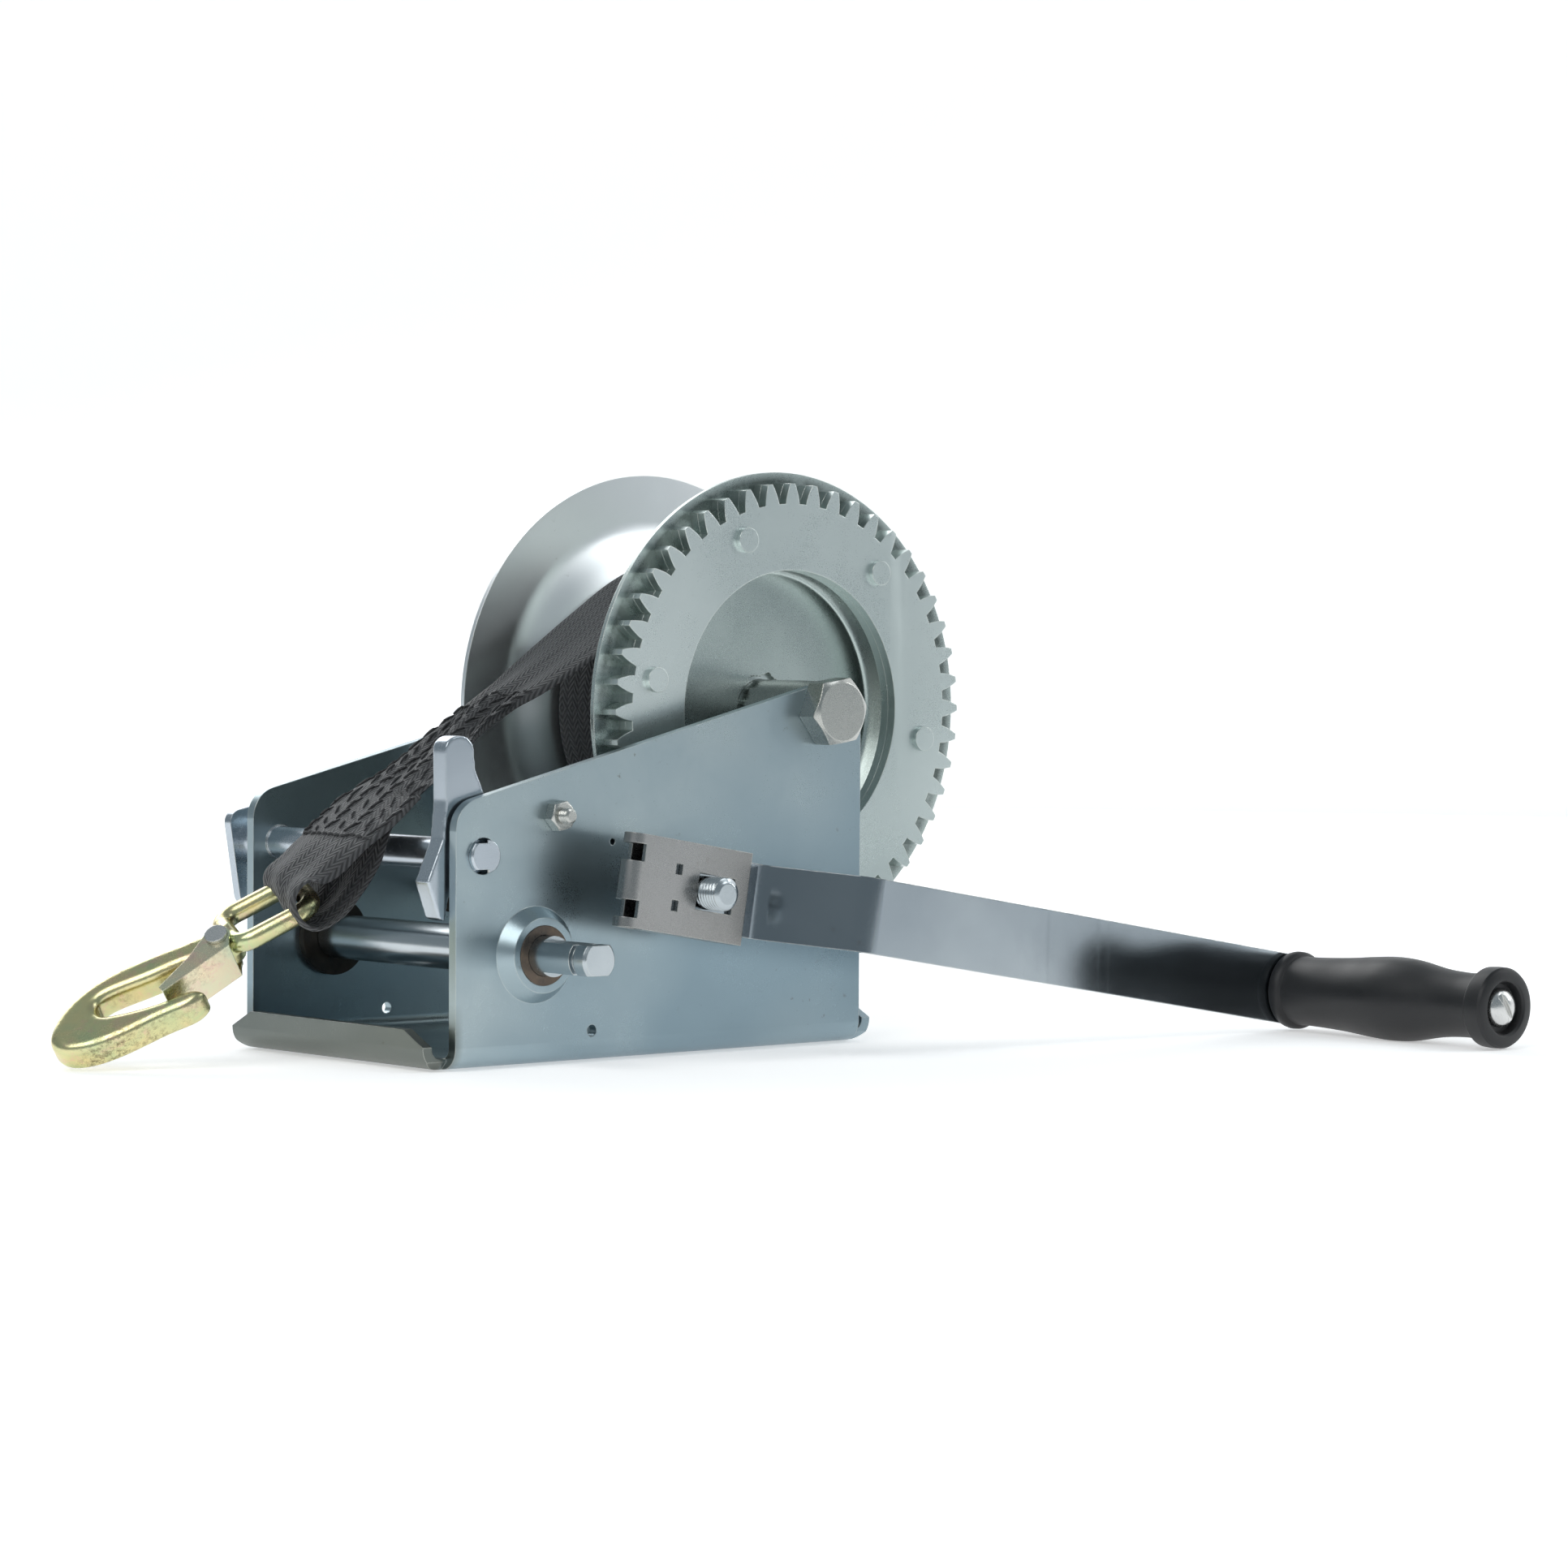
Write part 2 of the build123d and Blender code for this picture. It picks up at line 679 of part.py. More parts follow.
grip_start = arm_outer_plane - arm_half - 0.3
grip_head = -237.0
grip_screw = turned(
    grip_axis,
    [
        (grip_end - 0.6, 5.0),
        (grip_end + 0.6, 7.4),
        (grip_head, 7.6),
        (grip_head, grip_pin_radius),
        (arm_outer_plane + arm_half, grip_pin_radius),
        (arm_outer_plane + arm_half, 8.0),
        (arm_outer_plane + arm_half + 4, 7.0),
    ],
)
save(grip_screw, "grip_screw")
with BuildPart() as crank_grip:
    add(
        turned(
            grip_axis,
            [
                (grip_end, 14.6),
                (grip_end + 1, 15.6),
                (grip_end + 8, 15.6),
                (grip_end + 9.4, 12.8),
                (grip_end + 21, 12.6),
                (grip_end + 44, 16.2),
                (grip_end + 56, 16.5),
                (grip_end + 78, 14.6),
                (grip_start - 4, 14.0),
                (grip_start - 3.4, 15.5),
                (grip_start, 15.5),
            ],
        ).part
    )
    with BuildSketch(side_plane(grip_axis, 0)):
        Circle(grip_pin_radius + running_gap)
    extrude(amount=300, mode=Mode.SUBTRACT)
    with BuildSketch(side_plane(grip_axis, grip_head + 0.2)):
        Circle(9.5)
    extrude(amount=20, mode=Mode.SUBTRACT)
save(crank_grip, "crank_grip")

# The quick-release clip: a sheet folded round the hub end of the arm.
clip_back = arm_far + 0.2 + clip_sheet
clip_left = clip_front - 5.0
with BuildPart() as crank_clip:
    with BuildSketch(crank_plan):
        with BuildLine():
            FilletPolyline(
                (clip_rear, clip_face + clip_sheet / 2),
                (clip_left, clip_face + clip_sheet / 2),
                (clip_left, clip_back - clip_sheet / 2),
                (14.0, clip_back - clip_sheet / 2),
                radius=3.6,
            )
        trace(line_width=clip_sheet)
    extrude(amount=clip_half, both=True)
    with BuildSketch(crank_side(clip_face + clip_sheet)):
        with Locations((2.0, 0)):
            Rectangle(17.4, 13.4)
        with Locations((-16.6, 6.7), (-16.6, -6.7)):
            Rectangle(3.0, 4.0)
    extrude(amount=20, mode=Mode.SUBTRACT)
    with BuildSketch(crank_side(clip_back)):
        with Locations((2.0, 0)):
            Rectangle(24.0, 19.6)
    extrude(amount=clip_sheet, mode=Mode.SUBTRACT)
    with BuildSketch(crank_side(0)):
        with Locations((clip_left, 10.4), (clip_left, -10.4)):
            Rectangle(9.0, 6.4)
    extrude(amount=200, mode=Mode.SUBTRACT)
    with BuildSketch(crank_side(clip_face + 8)):
        with Locations(
            ((clip_rear - 28.0) / 2, clip_half - clip_sheet / 2),
            ((clip_rear - 28.0) / 2, -clip_half + clip_sheet / 2),
        ):
            Rectangle(clip_rear + 28.0, clip_sheet)
    extrude(amount=8)
save(crank_clip, "crank_clip")

# ---- strap's free end and the hook --------------------------------------------------------------
strap_slope = 31.6
strap_bend_x = -106.0
slope_cos, slope_sin = cos(radians(strap_slope)), sin(radians(strap_slope))
leave_radius = roll_radius + running_gap * 5 + strap_thickness
leave = (drum_axis[0] - leave_radius * slope_sin, drum_axis[1] + leave_radius * slope_cos)
leave_x = leave[0]


def strap_height(x, layer=0.0):
    """The height of the straight strap's upper face at x, or of a face that much below it."""
    return leave[1] - (leave[0] - x) * tan(radians(strap_slope)) - layer / slope_cos


slope, swing = radians(hook_slope), radians(hook_swing)
hook_along = Vector(-cos(slope) * cos(swing), cos(slope) * sin(swing), -sin(slope))
level_across = Vector(-sin(swing), -cos(swing), 0)
hook_line = Axis((0, 0, 0), hook_along)
hook_across = level_across.rotate(hook_line, hook_roll)
hook_normal = hook_along.cross(hook_across)
hook_plane = Plane(origin=hook_eye, x_dir=hook_along, z_dir=hook_normal)
# The eye is forged a little out of the bow's plane.
eye_across = level_across.rotate(hook_line, eye_roll)
eye_plane = Plane(origin=hook_eye, x_dir=hook_along, z_dir=hook_along.cross(eye_across))
eye_half_length = 19.5
eye_half_width = 17.8
eye_wire = 3.8
eye_corner = 7.0
hook_thick = 12.0
hook_rounding = 3.5
hinge_place = (20.5, 7.0)
hinge_radius = 2.5
bar_x = -(eye_half_length - eye_wire)
bar_centre = Vector(*hook_eye) + hook_along * bar_x

bar_plane = Plane(origin=bar_centre, x_dir=hook_along, z_dir=eye_across)
loop_bore = eye_wire + 0.6
loop_width = 17.0
end_middle = Vector(
    strap_bend_x,
    strap_middle,
    strap_height(strap_bend_x, strap_thickness),
)
loop_plane = Plane(
    origin=bar_centre,
    x_dir=eye_across * -1,
    z_dir=eye_across.cross((bar_centre - end_middle).cross(eye_across)),
)
strap_stations = (
    (leave_x, 50.0, 1),
    (2.0, 44.0, 1),
    (-16.0, 31.0, 2),
    (-40.0, 30.0, 2),
    (-72.0, 40.0, 2),
    (-88.0, 47.0, 2),
    (strap_bend_x, 46.0, 2),
)


def strap_plane(x, layers):
    """A plane across the strap at x, in the middle of that many layers."""
    middle = Vector(x, strap_middle, strap_height(x, layers * strap_thickness / 2))
    return Plane(origin=middle, x_dir=(0, 1, 0), z_dir=(-slope_cos, 0, -slope_sin))


with BuildPart() as strap_tail:
    for x, width, layers in strap_stations:
        with BuildSketch(strap_plane(x, layers)):
            Rectangle(width, layers * strap_thickness)
    loft(ruled=True)
    with BuildSketch(strap_plane(strap_bend_x, 2)):
        Rectangle(46.0, 2 * strap_thickness)
    with BuildSketch(loop_plane.offset(-loop_bore)):
        Rectangle(loop_width, 2 * loop_bore)
    loft()
    with BuildSketch(bar_plane.offset(-loop_width / 2)):
        Circle(loop_bore + 2 * strap_thickness)
    extrude(amount=loop_width)
    with BuildSketch(bar_plane.offset(-strap_width)):
        Circle(loop_bore)
    extrude(amount=2 * strap_width, mode=Mode.SUBTRACT)
save(strap_tail, "strap_tail")

eye_length = 2 * (eye_half_length - eye_wire)
eye_width = 2 * (eye_half_width - eye_wire)
eye_path = (eye_plane * RectangleRounded(eye_length, eye_width, eye_corner)).wire()
bow_outside = (
    (13.0, -2.5),
    (22.0, -0.8),
    (36.0, -2.6),
    (52.0, -5.0),
    (66.0, -5.0),
    (78.0, -1.5),
    (87.0, 5.0),
    (91.5, 12.5),
    (90.0, 19.0),
    (84.0, 24.0),
    (74.0, 27.2),
    (62.0, 28.4),
    (50.0, 29.2),
    (40.0, 30.0),
    (34.5, 27.0),
)
bow_inside = (
    (34.5, 27.0),
    (38.0, 22.8),
    (46.0, 21.2),
    (57.0, 18.6),
    (66.0, 15.0),
    (71.0, 11.0),
    (70.0, 6.2),
    (64.0, 4.8),
    (56.0, 6.0),
    (46.0, 7.6),
    (36.0, 8.8),
    (28.0, 11.0),
    (21.0, 12.8),
    (13.0, 10.0),
)

with BuildPart() as bow:
    with BuildSketch():
        with BuildLine():
            Spline(*bow_outside)
            Spline(*bow_inside)
            Line(bow_inside[-1], bow_outside[0])
        make_face()
    extrude(amount=hook_thick / 2, both=True)
    bow_faces = bow.faces().sort_by(Axis.Z)
    fillet(bow_faces[0].edges() + bow_faces[-1].edges(), hook_rounding)

with BuildPart() as hook_body:
    add(hook_plane * bow.part)
    with BuildSketch(Plane(origin=eye_path @ 0, z_dir=eye_path % 0)):
        Circle(eye_wire)
    sweep(path=eye_path)
    with BuildSketch(hook_plane.offset(hook_thick)):
        with Locations(hinge_place):
            Circle(hinge_radius)
    extrude(amount=-2 * hook_thick, mode=Mode.SUBTRACT)
save(hook_body, "hook_body")

rivet_plane = Plane(
    origin=hook_plane.from_local_coords((*hinge_place, 0)),
    x_dir=hook_along,
    z_dir=hook_normal,
)
ear_inner = hook_thick / 2 + 0.9
ear_sheet = 1.2
ear_outer = ear_inner + ear_sheet
rivet_head = 1.4
rivet_proud = ear_outer + rivet_head + 0.1
with BuildPart() as hook_rivet:
    with BuildSketch(rivet_plane.offset(rivet_proud)):
        Circle(hinge_radius - 0.05)
    extrude(amount=-2 * rivet_proud)
    for head_plane in (ear_outer + 0.1, -rivet_proud):
        with BuildSketch(rivet_plane.offset(head_plane)):
            Circle(4.2)
        extrude(amount=rivet_head)
save(hook_rivet, "hook_rivet")

# The latch is a channel: an ear each side of the shank and a web that meets the nose.
web_foot = (18.5, 14.5)
web_tip = (47.5, 20.0)
web_slope = (web_tip[1] - web_foot[1]) / (web_tip[0] - web_foot[0])


def web_line(reach, below=0.0):
    """The point that far along the hook on the web's outer face, or below it."""
    return (reach, web_foot[1] + (reach - web_foot[0]) * web_slope - below)


with BuildPart() as hook_latch:
    with BuildSketch(hook_plane.offset(-ear_outer)):
        with BuildLine():
            Polyline(
                (17.0, 10.5),
                web_foot,
                web_tip,
                (48.0, 16.8),
                (33.0, 9.8),
                (24.0, 3.4),
                close=True,
            )
        make_face()
        with Locations(hinge_place):
            Circle(5.0)
            Circle(hinge_radius, mode=Mode.SUBTRACT)
    extrude(amount=2 * ear_outer)
    with BuildSketch(hook_plane.offset(-ear_inner)):
        with BuildLine():
            Polyline(
                (-10.0, -14.0),
                (-10.0, 30.0),
                (web_foot[0], 30.0),
                web_line(web_foot[0], ear_sheet),
                web_line(web_tip[0] + 4, ear_sheet),
                (60.0, -14.0),
                close=True,
            )
        make_face()
    extrude(amount=2 * ear_inner, mode=Mode.SUBTRACT)
save(hook_latch, "hook_latch")

leaf_gap = 0.2
leaf_sheet = 0.6
leaf_top = ear_sheet + leaf_gap
with BuildPart() as latch_spring:
    with BuildSketch(hook_plane.offset(-2.5)):
        with BuildLine():
            Polyline(
                web_line(26.0, leaf_top),
                web_line(38.0, leaf_top),
                web_line(38.0, leaf_top + leaf_sheet),
                web_line(26.0, leaf_top + leaf_sheet),
                close=True,
            )
        make_face()
    extrude(amount=5.0)
save(latch_spring, "latch_spring")
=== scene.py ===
import math
import random

import bmesh
import bpy
from mathutils import Matrix, Vector


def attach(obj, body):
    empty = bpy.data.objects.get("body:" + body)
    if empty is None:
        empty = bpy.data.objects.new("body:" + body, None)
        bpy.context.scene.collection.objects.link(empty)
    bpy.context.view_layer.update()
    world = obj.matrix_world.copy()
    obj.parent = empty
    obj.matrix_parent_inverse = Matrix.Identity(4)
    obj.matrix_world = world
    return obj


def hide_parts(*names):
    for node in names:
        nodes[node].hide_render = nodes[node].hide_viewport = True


# The looks of a boat trailer winch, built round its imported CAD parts. Metres, the row frame:
# +X to the drum's end, +Y to the side without the crank, +Z up.

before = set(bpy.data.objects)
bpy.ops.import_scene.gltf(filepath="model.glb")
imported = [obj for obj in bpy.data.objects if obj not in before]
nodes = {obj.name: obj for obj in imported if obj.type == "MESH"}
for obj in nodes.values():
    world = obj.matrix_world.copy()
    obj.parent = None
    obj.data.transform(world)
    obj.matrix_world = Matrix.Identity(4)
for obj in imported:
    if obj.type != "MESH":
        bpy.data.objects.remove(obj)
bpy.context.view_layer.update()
random.seed(5)
MM = 0.001
X, Z = 0, 2

# ---- places taken from the CAD's own dimensions, in millimetres ----------------------------------
DRUM = (79.5, 128.0)
HIGH_SHAFT = (-2.38, 62.27)
GRIP = (273.7, 15.57)
STOP = (-52.0, 91.1)


# ---- material graphs ----------------------------------------------------------------------------
class Graph:
    """A procedural material in object coordinates, which are the row frame's metres."""

    def __init__(self, name):
        self.material = bpy.data.materials.new(name)
        self.material.use_nodes = True
        self.nodes = self.material.node_tree.nodes
        self.links = self.material.node_tree.links
        self.nodes.clear()
        self.output = self.nodes.new("ShaderNodeOutputMaterial")
        self.shader = self.nodes.new("ShaderNodeBsdfPrincipled")
        self.links.new(self.shader.outputs[0], self.output.inputs[0])
        self.place = self.nodes.new("ShaderNodeTexCoord").outputs["Object"]

    def put(self, socket, value):
        if isinstance(value, bpy.types.NodeSocket):
            self.links.new(value, socket)
        elif isinstance(value, tuple) and len(value) == 3 and socket.type == "RGBA":
            socket.default_value = (*value, 1.0)
        else:
            socket.default_value = value

    def set(self, **values):
        for name, value in values.items():
            self.put(self.shader.inputs[name.replace("_", " ")], value)

    def noise(self, scale, detail=3.0, rough=0.55, stretch=None, distort=0.0):
        """Noise from 0 to 1. stretch scales the three directions apart."""
        place = self.place
        if stretch:
            mapping = self.nodes.new("ShaderNodeMapping")
            mapping.inputs["Scale"].default_value = stretch
            self.links.new(place, mapping.inputs["Vector"])
            place = mapping.outputs[0]
        node = self.nodes.new("ShaderNodeTexNoise")
        self.links.new(place, node.inputs["Vector"])
        self.put(node.inputs["Scale"], scale)
        self.put(node.inputs["Detail"], detail)
        self.put(node.inputs["Roughness"], rough)
        self.put(node.inputs["Distortion"], distort)
        return node.outputs["Fac"]

    def reach(self, axis):
        """The distance, in metres, from a line along Y through axis (x, z) in millimetres."""
        flat = self.nodes.new("ShaderNodeVectorMath")
        flat.operation = "MULTIPLY"
        self.links.new(self.place, flat.inputs[0])
        flat.inputs[1].default_value = (1.0, 0.0, 1.0)
        far = self.nodes.new("ShaderNodeVectorMath")
        far.operation = "DISTANCE"
        self.links.new(flat.outputs[0], far.inputs[0])
        far.inputs[1].default_value = (axis[0] * MM, 0.0, axis[1] * MM)
        return far.outputs["Value"]

    def axis(self, index):
        """One coordinate of the place, in metres."""
        parts = self.nodes.new("ShaderNodeSeparateXYZ")
        self.links.new(self.place, parts.inputs[0])
        return parts.outputs[index]

    def ramp(self, value, low, high, start=0.0, end=1.0):
        """value stretched so that low to high becomes start to end."""
        node = self.nodes.new("ShaderNodeMapRange")
        self.put(node.inputs["Value"], value)
        for name, number in (("From Min", low), ("From Max", high), ("To Min", start), ("To Max", end)):
            self.put(node.inputs[name], number)
        return node.outputs[0]

    def maths(self, operation, first, second=0.0):
        node = self.nodes.new("ShaderNodeMath")
        node.operation = operation
        self.put(node.inputs[0], first)
        self.put(node.inputs[1], second)
        return node.outputs[0]

    def mix(self, factor, first, second):
        """A colour between two colours."""
        node = self.nodes.new("ShaderNodeMix")
        node.data_type = "RGBA"
        self.put(node.inputs["Factor"], factor)
        self.put(node.inputs["A"], first)
        self.put(node.inputs["B"], second)
        return node.outputs["Result"]

    def rounded(self, radius):
        """The normal that the surface would have with its edges rounded off."""
        node = self.nodes.new("ShaderNodeBevel")
        node.samples = 4
        node.inputs["Radius"].default_value = radius
        return node.outputs[0]

    def edges(self, normal):
        """1 on an edge that rounded() turned, 0 on a flat."""
        geometry = self.nodes.new("ShaderNodeNewGeometry")
        node = self.nodes.new("ShaderNodeVectorMath")
        node.operation = "DOT_PRODUCT"
        self.links.new(normal, node.inputs[0])
        self.links.new(geometry.outputs["Normal"], node.inputs[1])
        return self.ramp(node.outputs["Value"], 0.995, 0.86)

    def bump(self, height, strength, distance, normal=None):
        node = self.nodes.new("ShaderNodeBump")
        self.put(node.inputs["Height"], height)
        self.put(node.inputs["Strength"], strength)
        self.put(node.inputs["Distance"], distance)
        if normal is not None:
            self.links.new(normal, node.inputs["Normal"])
        return node.outputs[0]


WORN_ZINC = (0.78, 0.77, 0.70)
# The dark tint painted as shade behind the gear's teeth.
TOOTH_SHADOW_TINT = (0.08, 0.10, 0.09)
DULL_LIP = (0.15, 0.155, 0.13)
PITTED_BROWN = (0.15, 0.11, 0.07)
SOFT_EDGE = 0.0005
YELLOW_ROUGH = 0.24


def zinc(name, bright, dull, stain, rough, stains=0.35, tooth_shade=0.0, lip=0.0):
    """Zinc-plated steel: a slow drift of tint, fine grain, small stains, worn edges, faint scratches."""
    g = Graph(name)
    drift = g.ramp(g.noise(7.0, 2.0, 0.5), 0.36, 0.64)
    cloud = g.ramp(g.noise(38.0, 4.0, 0.6, distort=0.3), 0.3, 0.7)
    grain = g.noise(2600.0, 2.0, 0.6)
    scratch = g.ramp(g.noise(90.0, 2.0, 0.5, stretch=(1.0, 1.0, 0.04)), 0.66, 0.74)
    tint = g.mix(drift, bright, dull)
    tint = g.mix(g.maths("MULTIPLY", cloud, 0.3), tint, dull)
    spots = g.ramp(g.noise(260.0, 4.0, 0.65), 0.64, 0.74)
    patches = g.ramp(g.noise(18.0, 3.0, 0.5), 0.5, 0.68)
    tint = g.mix(g.maths("MULTIPLY", g.maths("MULTIPLY", spots, patches), stains), tint, stain)
    if tooth_shade:
        # Painted shade: a dark ring on the flange behind the gear's teeth, where the teeth shade it, broken
        # up by noise.
        ring = g.ramp(g.reach(DRUM), 0.074, 0.080)
        ring = g.maths("MULTIPLY", ring, g.ramp(g.reach(DRUM), 0.0915, 0.0885))
        smear = g.maths("MULTIPLY", ring, g.ramp(g.noise(60.0, 4.0, 0.6), 0.3, 0.55, 0.35, 1.0))
        tint = g.mix(g.maths("MULTIPLY", smear, tooth_shade), tint, TOOTH_SHADOW_TINT)
    if lip:
        # The lip across the front of the base is dull and brown.
        low = g.maths("MULTIPLY", g.ramp(g.axis(X), -0.094, -0.100), g.ramp(g.axis(Z), 0.024, 0.014))
        tint = g.mix(g.maths("MULTIPLY", low, lip), tint, DULL_LIP)
    normal = g.rounded(SOFT_EDGE)
    worn = g.maths("MULTIPLY", g.edges(normal), g.ramp(g.noise(160.0, 4.0, 0.6), 0.25, 0.6))
    tint = g.mix(g.maths("MULTIPLY", worn, 0.7), tint, WORN_ZINC)
    roughness = g.ramp(cloud, 0.0, 1.0, rough - 0.02, rough + 0.03)
    roughness = g.maths("ADD", roughness, g.ramp(grain, 0.3, 0.7, -0.03, 0.03))
    roughness = g.maths("ADD", roughness, g.maths("MULTIPLY", scratch, 0.05))
    height = g.maths("ADD", g.maths("MULTIPLY", grain, 0.5), g.maths("MULTIPLY", scratch, -0.15))
    normal = g.bump(height, 0.10, 0.00012, normal)
    g.set(Base_Color=tint, Metallic=1.0, Roughness=roughness, Normal=normal)
    return g.material


def plastic(name, tint, rough):
    """Moulded black plastic with fine grain and a slight sheen."""
    g = Graph(name)
    grain = g.noise(1500.0, 2.0)
    smear = g.ramp(g.noise(40.0, 3.0), 0.3, 0.7)
    g.set(
        Base_Color=g.mix(smear, tint, tuple(v * 1.6 for v in tint)),
        Roughness=g.ramp(smear, 0.0, 1.0, rough - 0.06, rough + 0.08),
        Normal=g.bump(grain, 0.12, 0.0002, g.rounded(SOFT_EDGE)),
        Specular_IOR_Level=0.45,
    )
    return g.material


def oxide(name, tint, rough):
    """Black-oxide steel, oily and slightly brown."""
    g = Graph(name)
    cloud = g.ramp(g.noise(160.0, 5.0, 0.65), 0.35, 0.7)
    g.set(
        Base_Color=g.mix(cloud, tint, (tint[0] * 2.2, tint[1] * 1.9, tint[2] * 1.6)),
        Metallic=0.6,
        Roughness=g.ramp(cloud, 0.0, 1.0, rough - 0.08, rough + 0.12),
        Normal=g.bump(cloud, 0.2, 0.0002, g.rounded(0.0004)),
    )
    return g.material


def yellow_zinc(name, gold, green, pink, pitted):
    """Yellow passivated steel: gold that drifts to green and pink, with brown pitted patches."""
    g = Graph(name)
    drift = g.ramp(g.noise(38.0, 3.0, 0.6, distort=1.2), 0.34, 0.66)
    fine = g.ramp(g.noise(110.0, 4.0, 0.65, distort=0.6), 0.36, 0.66)
    tint = g.mix(drift, gold, green)
    tint = g.mix(g.maths("MULTIPLY", g.ramp(fine, 0.55, 1.0), 0.6), tint, pink)
    pits = g.ramp(g.noise(520.0, 4.0, 0.7), 0.46, 0.66)
    patch = g.ramp(g.noise(32.0, 2.0, 0.5), 0.44, 0.6, 0.0, pitted)
    worn = g.maths("MULTIPLY", pits, patch)
    tint = g.mix(g.maths("MULTIPLY", worn, 0.8), tint, PITTED_BROWN)
    height = g.maths("SUBTRACT", g.maths("MULTIPLY", fine, 0.5), pits)
    normal = g.bump(height, 0.12, 0.0002, g.rounded(SOFT_EDGE))
    roughness = g.ramp(worn, 0.0, 1.0, YELLOW_ROUGH, YELLOW_ROUGH + 0.25)
    g.set(Base_Color=tint, Metallic=1.0, Roughness=roughness, Normal=normal)
    return g.material


def thread_black(name):
    """The thick stitching thread."""
    g = Graph(name)
    twist = g.noise(1400.0, 2.0)
    g.set(
        Base_Color=g.mix(twist, (0.012, 0.012, 0.013), (0.035, 0.035, 0.038)),
        Roughness=g.ramp(twist, 0.3, 0.7, 0.55, 0.75),
        Normal=g.bump(twist, 0.4, 0.0002),
        Sheen_Weight=0.2,
    )
    return g.material


def webbing(name):
    """Black polyester webbing. The mesh's UV is in metres: U across the strap, V along it."""
    g = Graph(name)
    uv = g.nodes.new("ShaderNodeUVMap")
    uv.uv_map = "weave"
    split = g.nodes.new("ShaderNodeSeparateXYZ")
    g.links.new(uv.outputs[0], split.inputs[0])
    across, along = split.outputs["X"], split.outputs["Y"]
    rib = 0.0032
    pick = 0.0013
    # Each rib leans one way and its neighbour the other, which makes the herringbone.
    side = g.maths("PINGPONG", across, rib)
    lean = g.maths("MULTIPLY", side, 1.25)
    wave = g.maths("PINGPONG", g.maths("ADD", along, lean), pick)
    ridge = g.ramp(wave, 0.0, pick)
    groove = g.ramp(g.maths("PINGPONG", across, rib / 2), 0.0, 0.0005)
    wear = g.ramp(g.noise(60.0, 4.0, 0.6), 0.35, 0.7)
    fuzz = g.noise(1800.0, 3.0)
    cloth = g.mix(ridge, (0.008, 0.008, 0.009), (0.085, 0.086, 0.090))
    cloth = g.mix(g.maths("MULTIPLY", wear, 0.35), cloth, (0.075, 0.076, 0.078))
    woven = g.maths("MULTIPLY", ridge, g.ramp(groove, 0.0, 1.0, 0.35, 1.0))
    height = g.maths("ADD", woven, g.maths("MULTIPLY", fuzz, 0.25))
    g.set(
        Base_Color=cloth,
        Roughness=g.ramp(fuzz, 0.3, 0.7, 0.5, 0.68),
        Normal=g.bump(height, 0.75, 0.00045),
        Specular_IOR_Level=0.35,
        Sheen_Weight=0.25,
        Sheen_Roughness=0.4,
    )
    return g.material


# Each zinc: name, its brighter and its duller tint, its stain, roughness.
FRAME_ZINC = zinc("frame zinc", (0.46, 0.54, 0.56), (0.27, 0.36, 0.41), (0.16, 0.15, 0.12), 0.30,
                  stains=0.8, lip=0.85)
GEAR_ZINC = zinc("gear zinc", (0.78, 0.84, 0.82), (0.52, 0.59, 0.58), (0.17, 0.18, 0.14), 0.29, stains=0.6)
# The flanges, in effect the far one: a near-white tint that paints in the broad highlight on its dish, a lit
# copy of the flange zinc.
FLANGE_HIGHLIGHT_ZINC = zinc("flange zinc", (0.97, 0.98, 0.98), (0.86, 0.90, 0.91), (0.30, 0.31, 0.27), 0.33,
                   stains=0.4)
# The near flange: its tint is painted darker than the gear's and the far flange's, as shade behind the gear's
# teeth, and it takes the painted shade ring there.
SHADED_RIM_ZINC = zinc("near flange shaded zinc", (0.62, 0.69, 0.67), (0.46, 0.53, 0.51), (0.16, 0.17, 0.13), 0.28,
                stains=0.6, tooth_shade=0.85)
BOLT_ZINC = zinc("bolt zinc", (0.60, 0.60, 0.57), (0.40, 0.41, 0.39), (0.14, 0.12, 0.10), 0.27, stains=0.8)
SHAFT_ZINC = zinc("shaft zinc", (0.60, 0.64, 0.66), (0.42, 0.47, 0.50), (0.20, 0.17, 0.14), 0.22, stains=0.5)
ARM_ZINC = zinc("arm zinc", (0.48, 0.52, 0.54), (0.28, 0.32, 0.35), (0.20, 0.18, 0.17), 0.14, stains=0.5)
PAWL_ZINC = zinc("pawl zinc", (0.56, 0.61, 0.66), (0.42, 0.47, 0.52), (0.25, 0.23, 0.21), 0.24, stains=0.2)
CLIP_ZINC = zinc("clip zinc", (0.42, 0.42, 0.42), (0.30, 0.295, 0.285), (0.20, 0.15, 0.10), 0.27, stains=0.6)
RIVET_STEEL = zinc("rivet steel", (0.72, 0.72, 0.71), (0.58, 0.58, 0.57), (0.25, 0.22, 0.18), 0.25)
BUSH_BLACK = oxide("bush black", (0.018, 0.017, 0.016), 0.42)
BUSH_BROWN = oxide("bush brown", (0.085, 0.072, 0.062), 0.35)
GRIP_BLACK = plastic("grip black", (0.011, 0.011, 0.012), 0.42)
HOOK_GOLD = yellow_zinc("hook yellow zinc", (0.80, 0.68, 0.36), (0.60, 0.66, 0.37), (0.80, 0.56, 0.42), 1.0)
LATCH_GOLD = yellow_zinc("latch yellow zinc", (0.90, 0.76, 0.54), (0.74, 0.78, 0.56), (0.90, 0.62, 0.54), 0.4)
STRAP_BLACK = webbing("strap webbing")
THREAD_BLACK = thread_black("stitching thread")

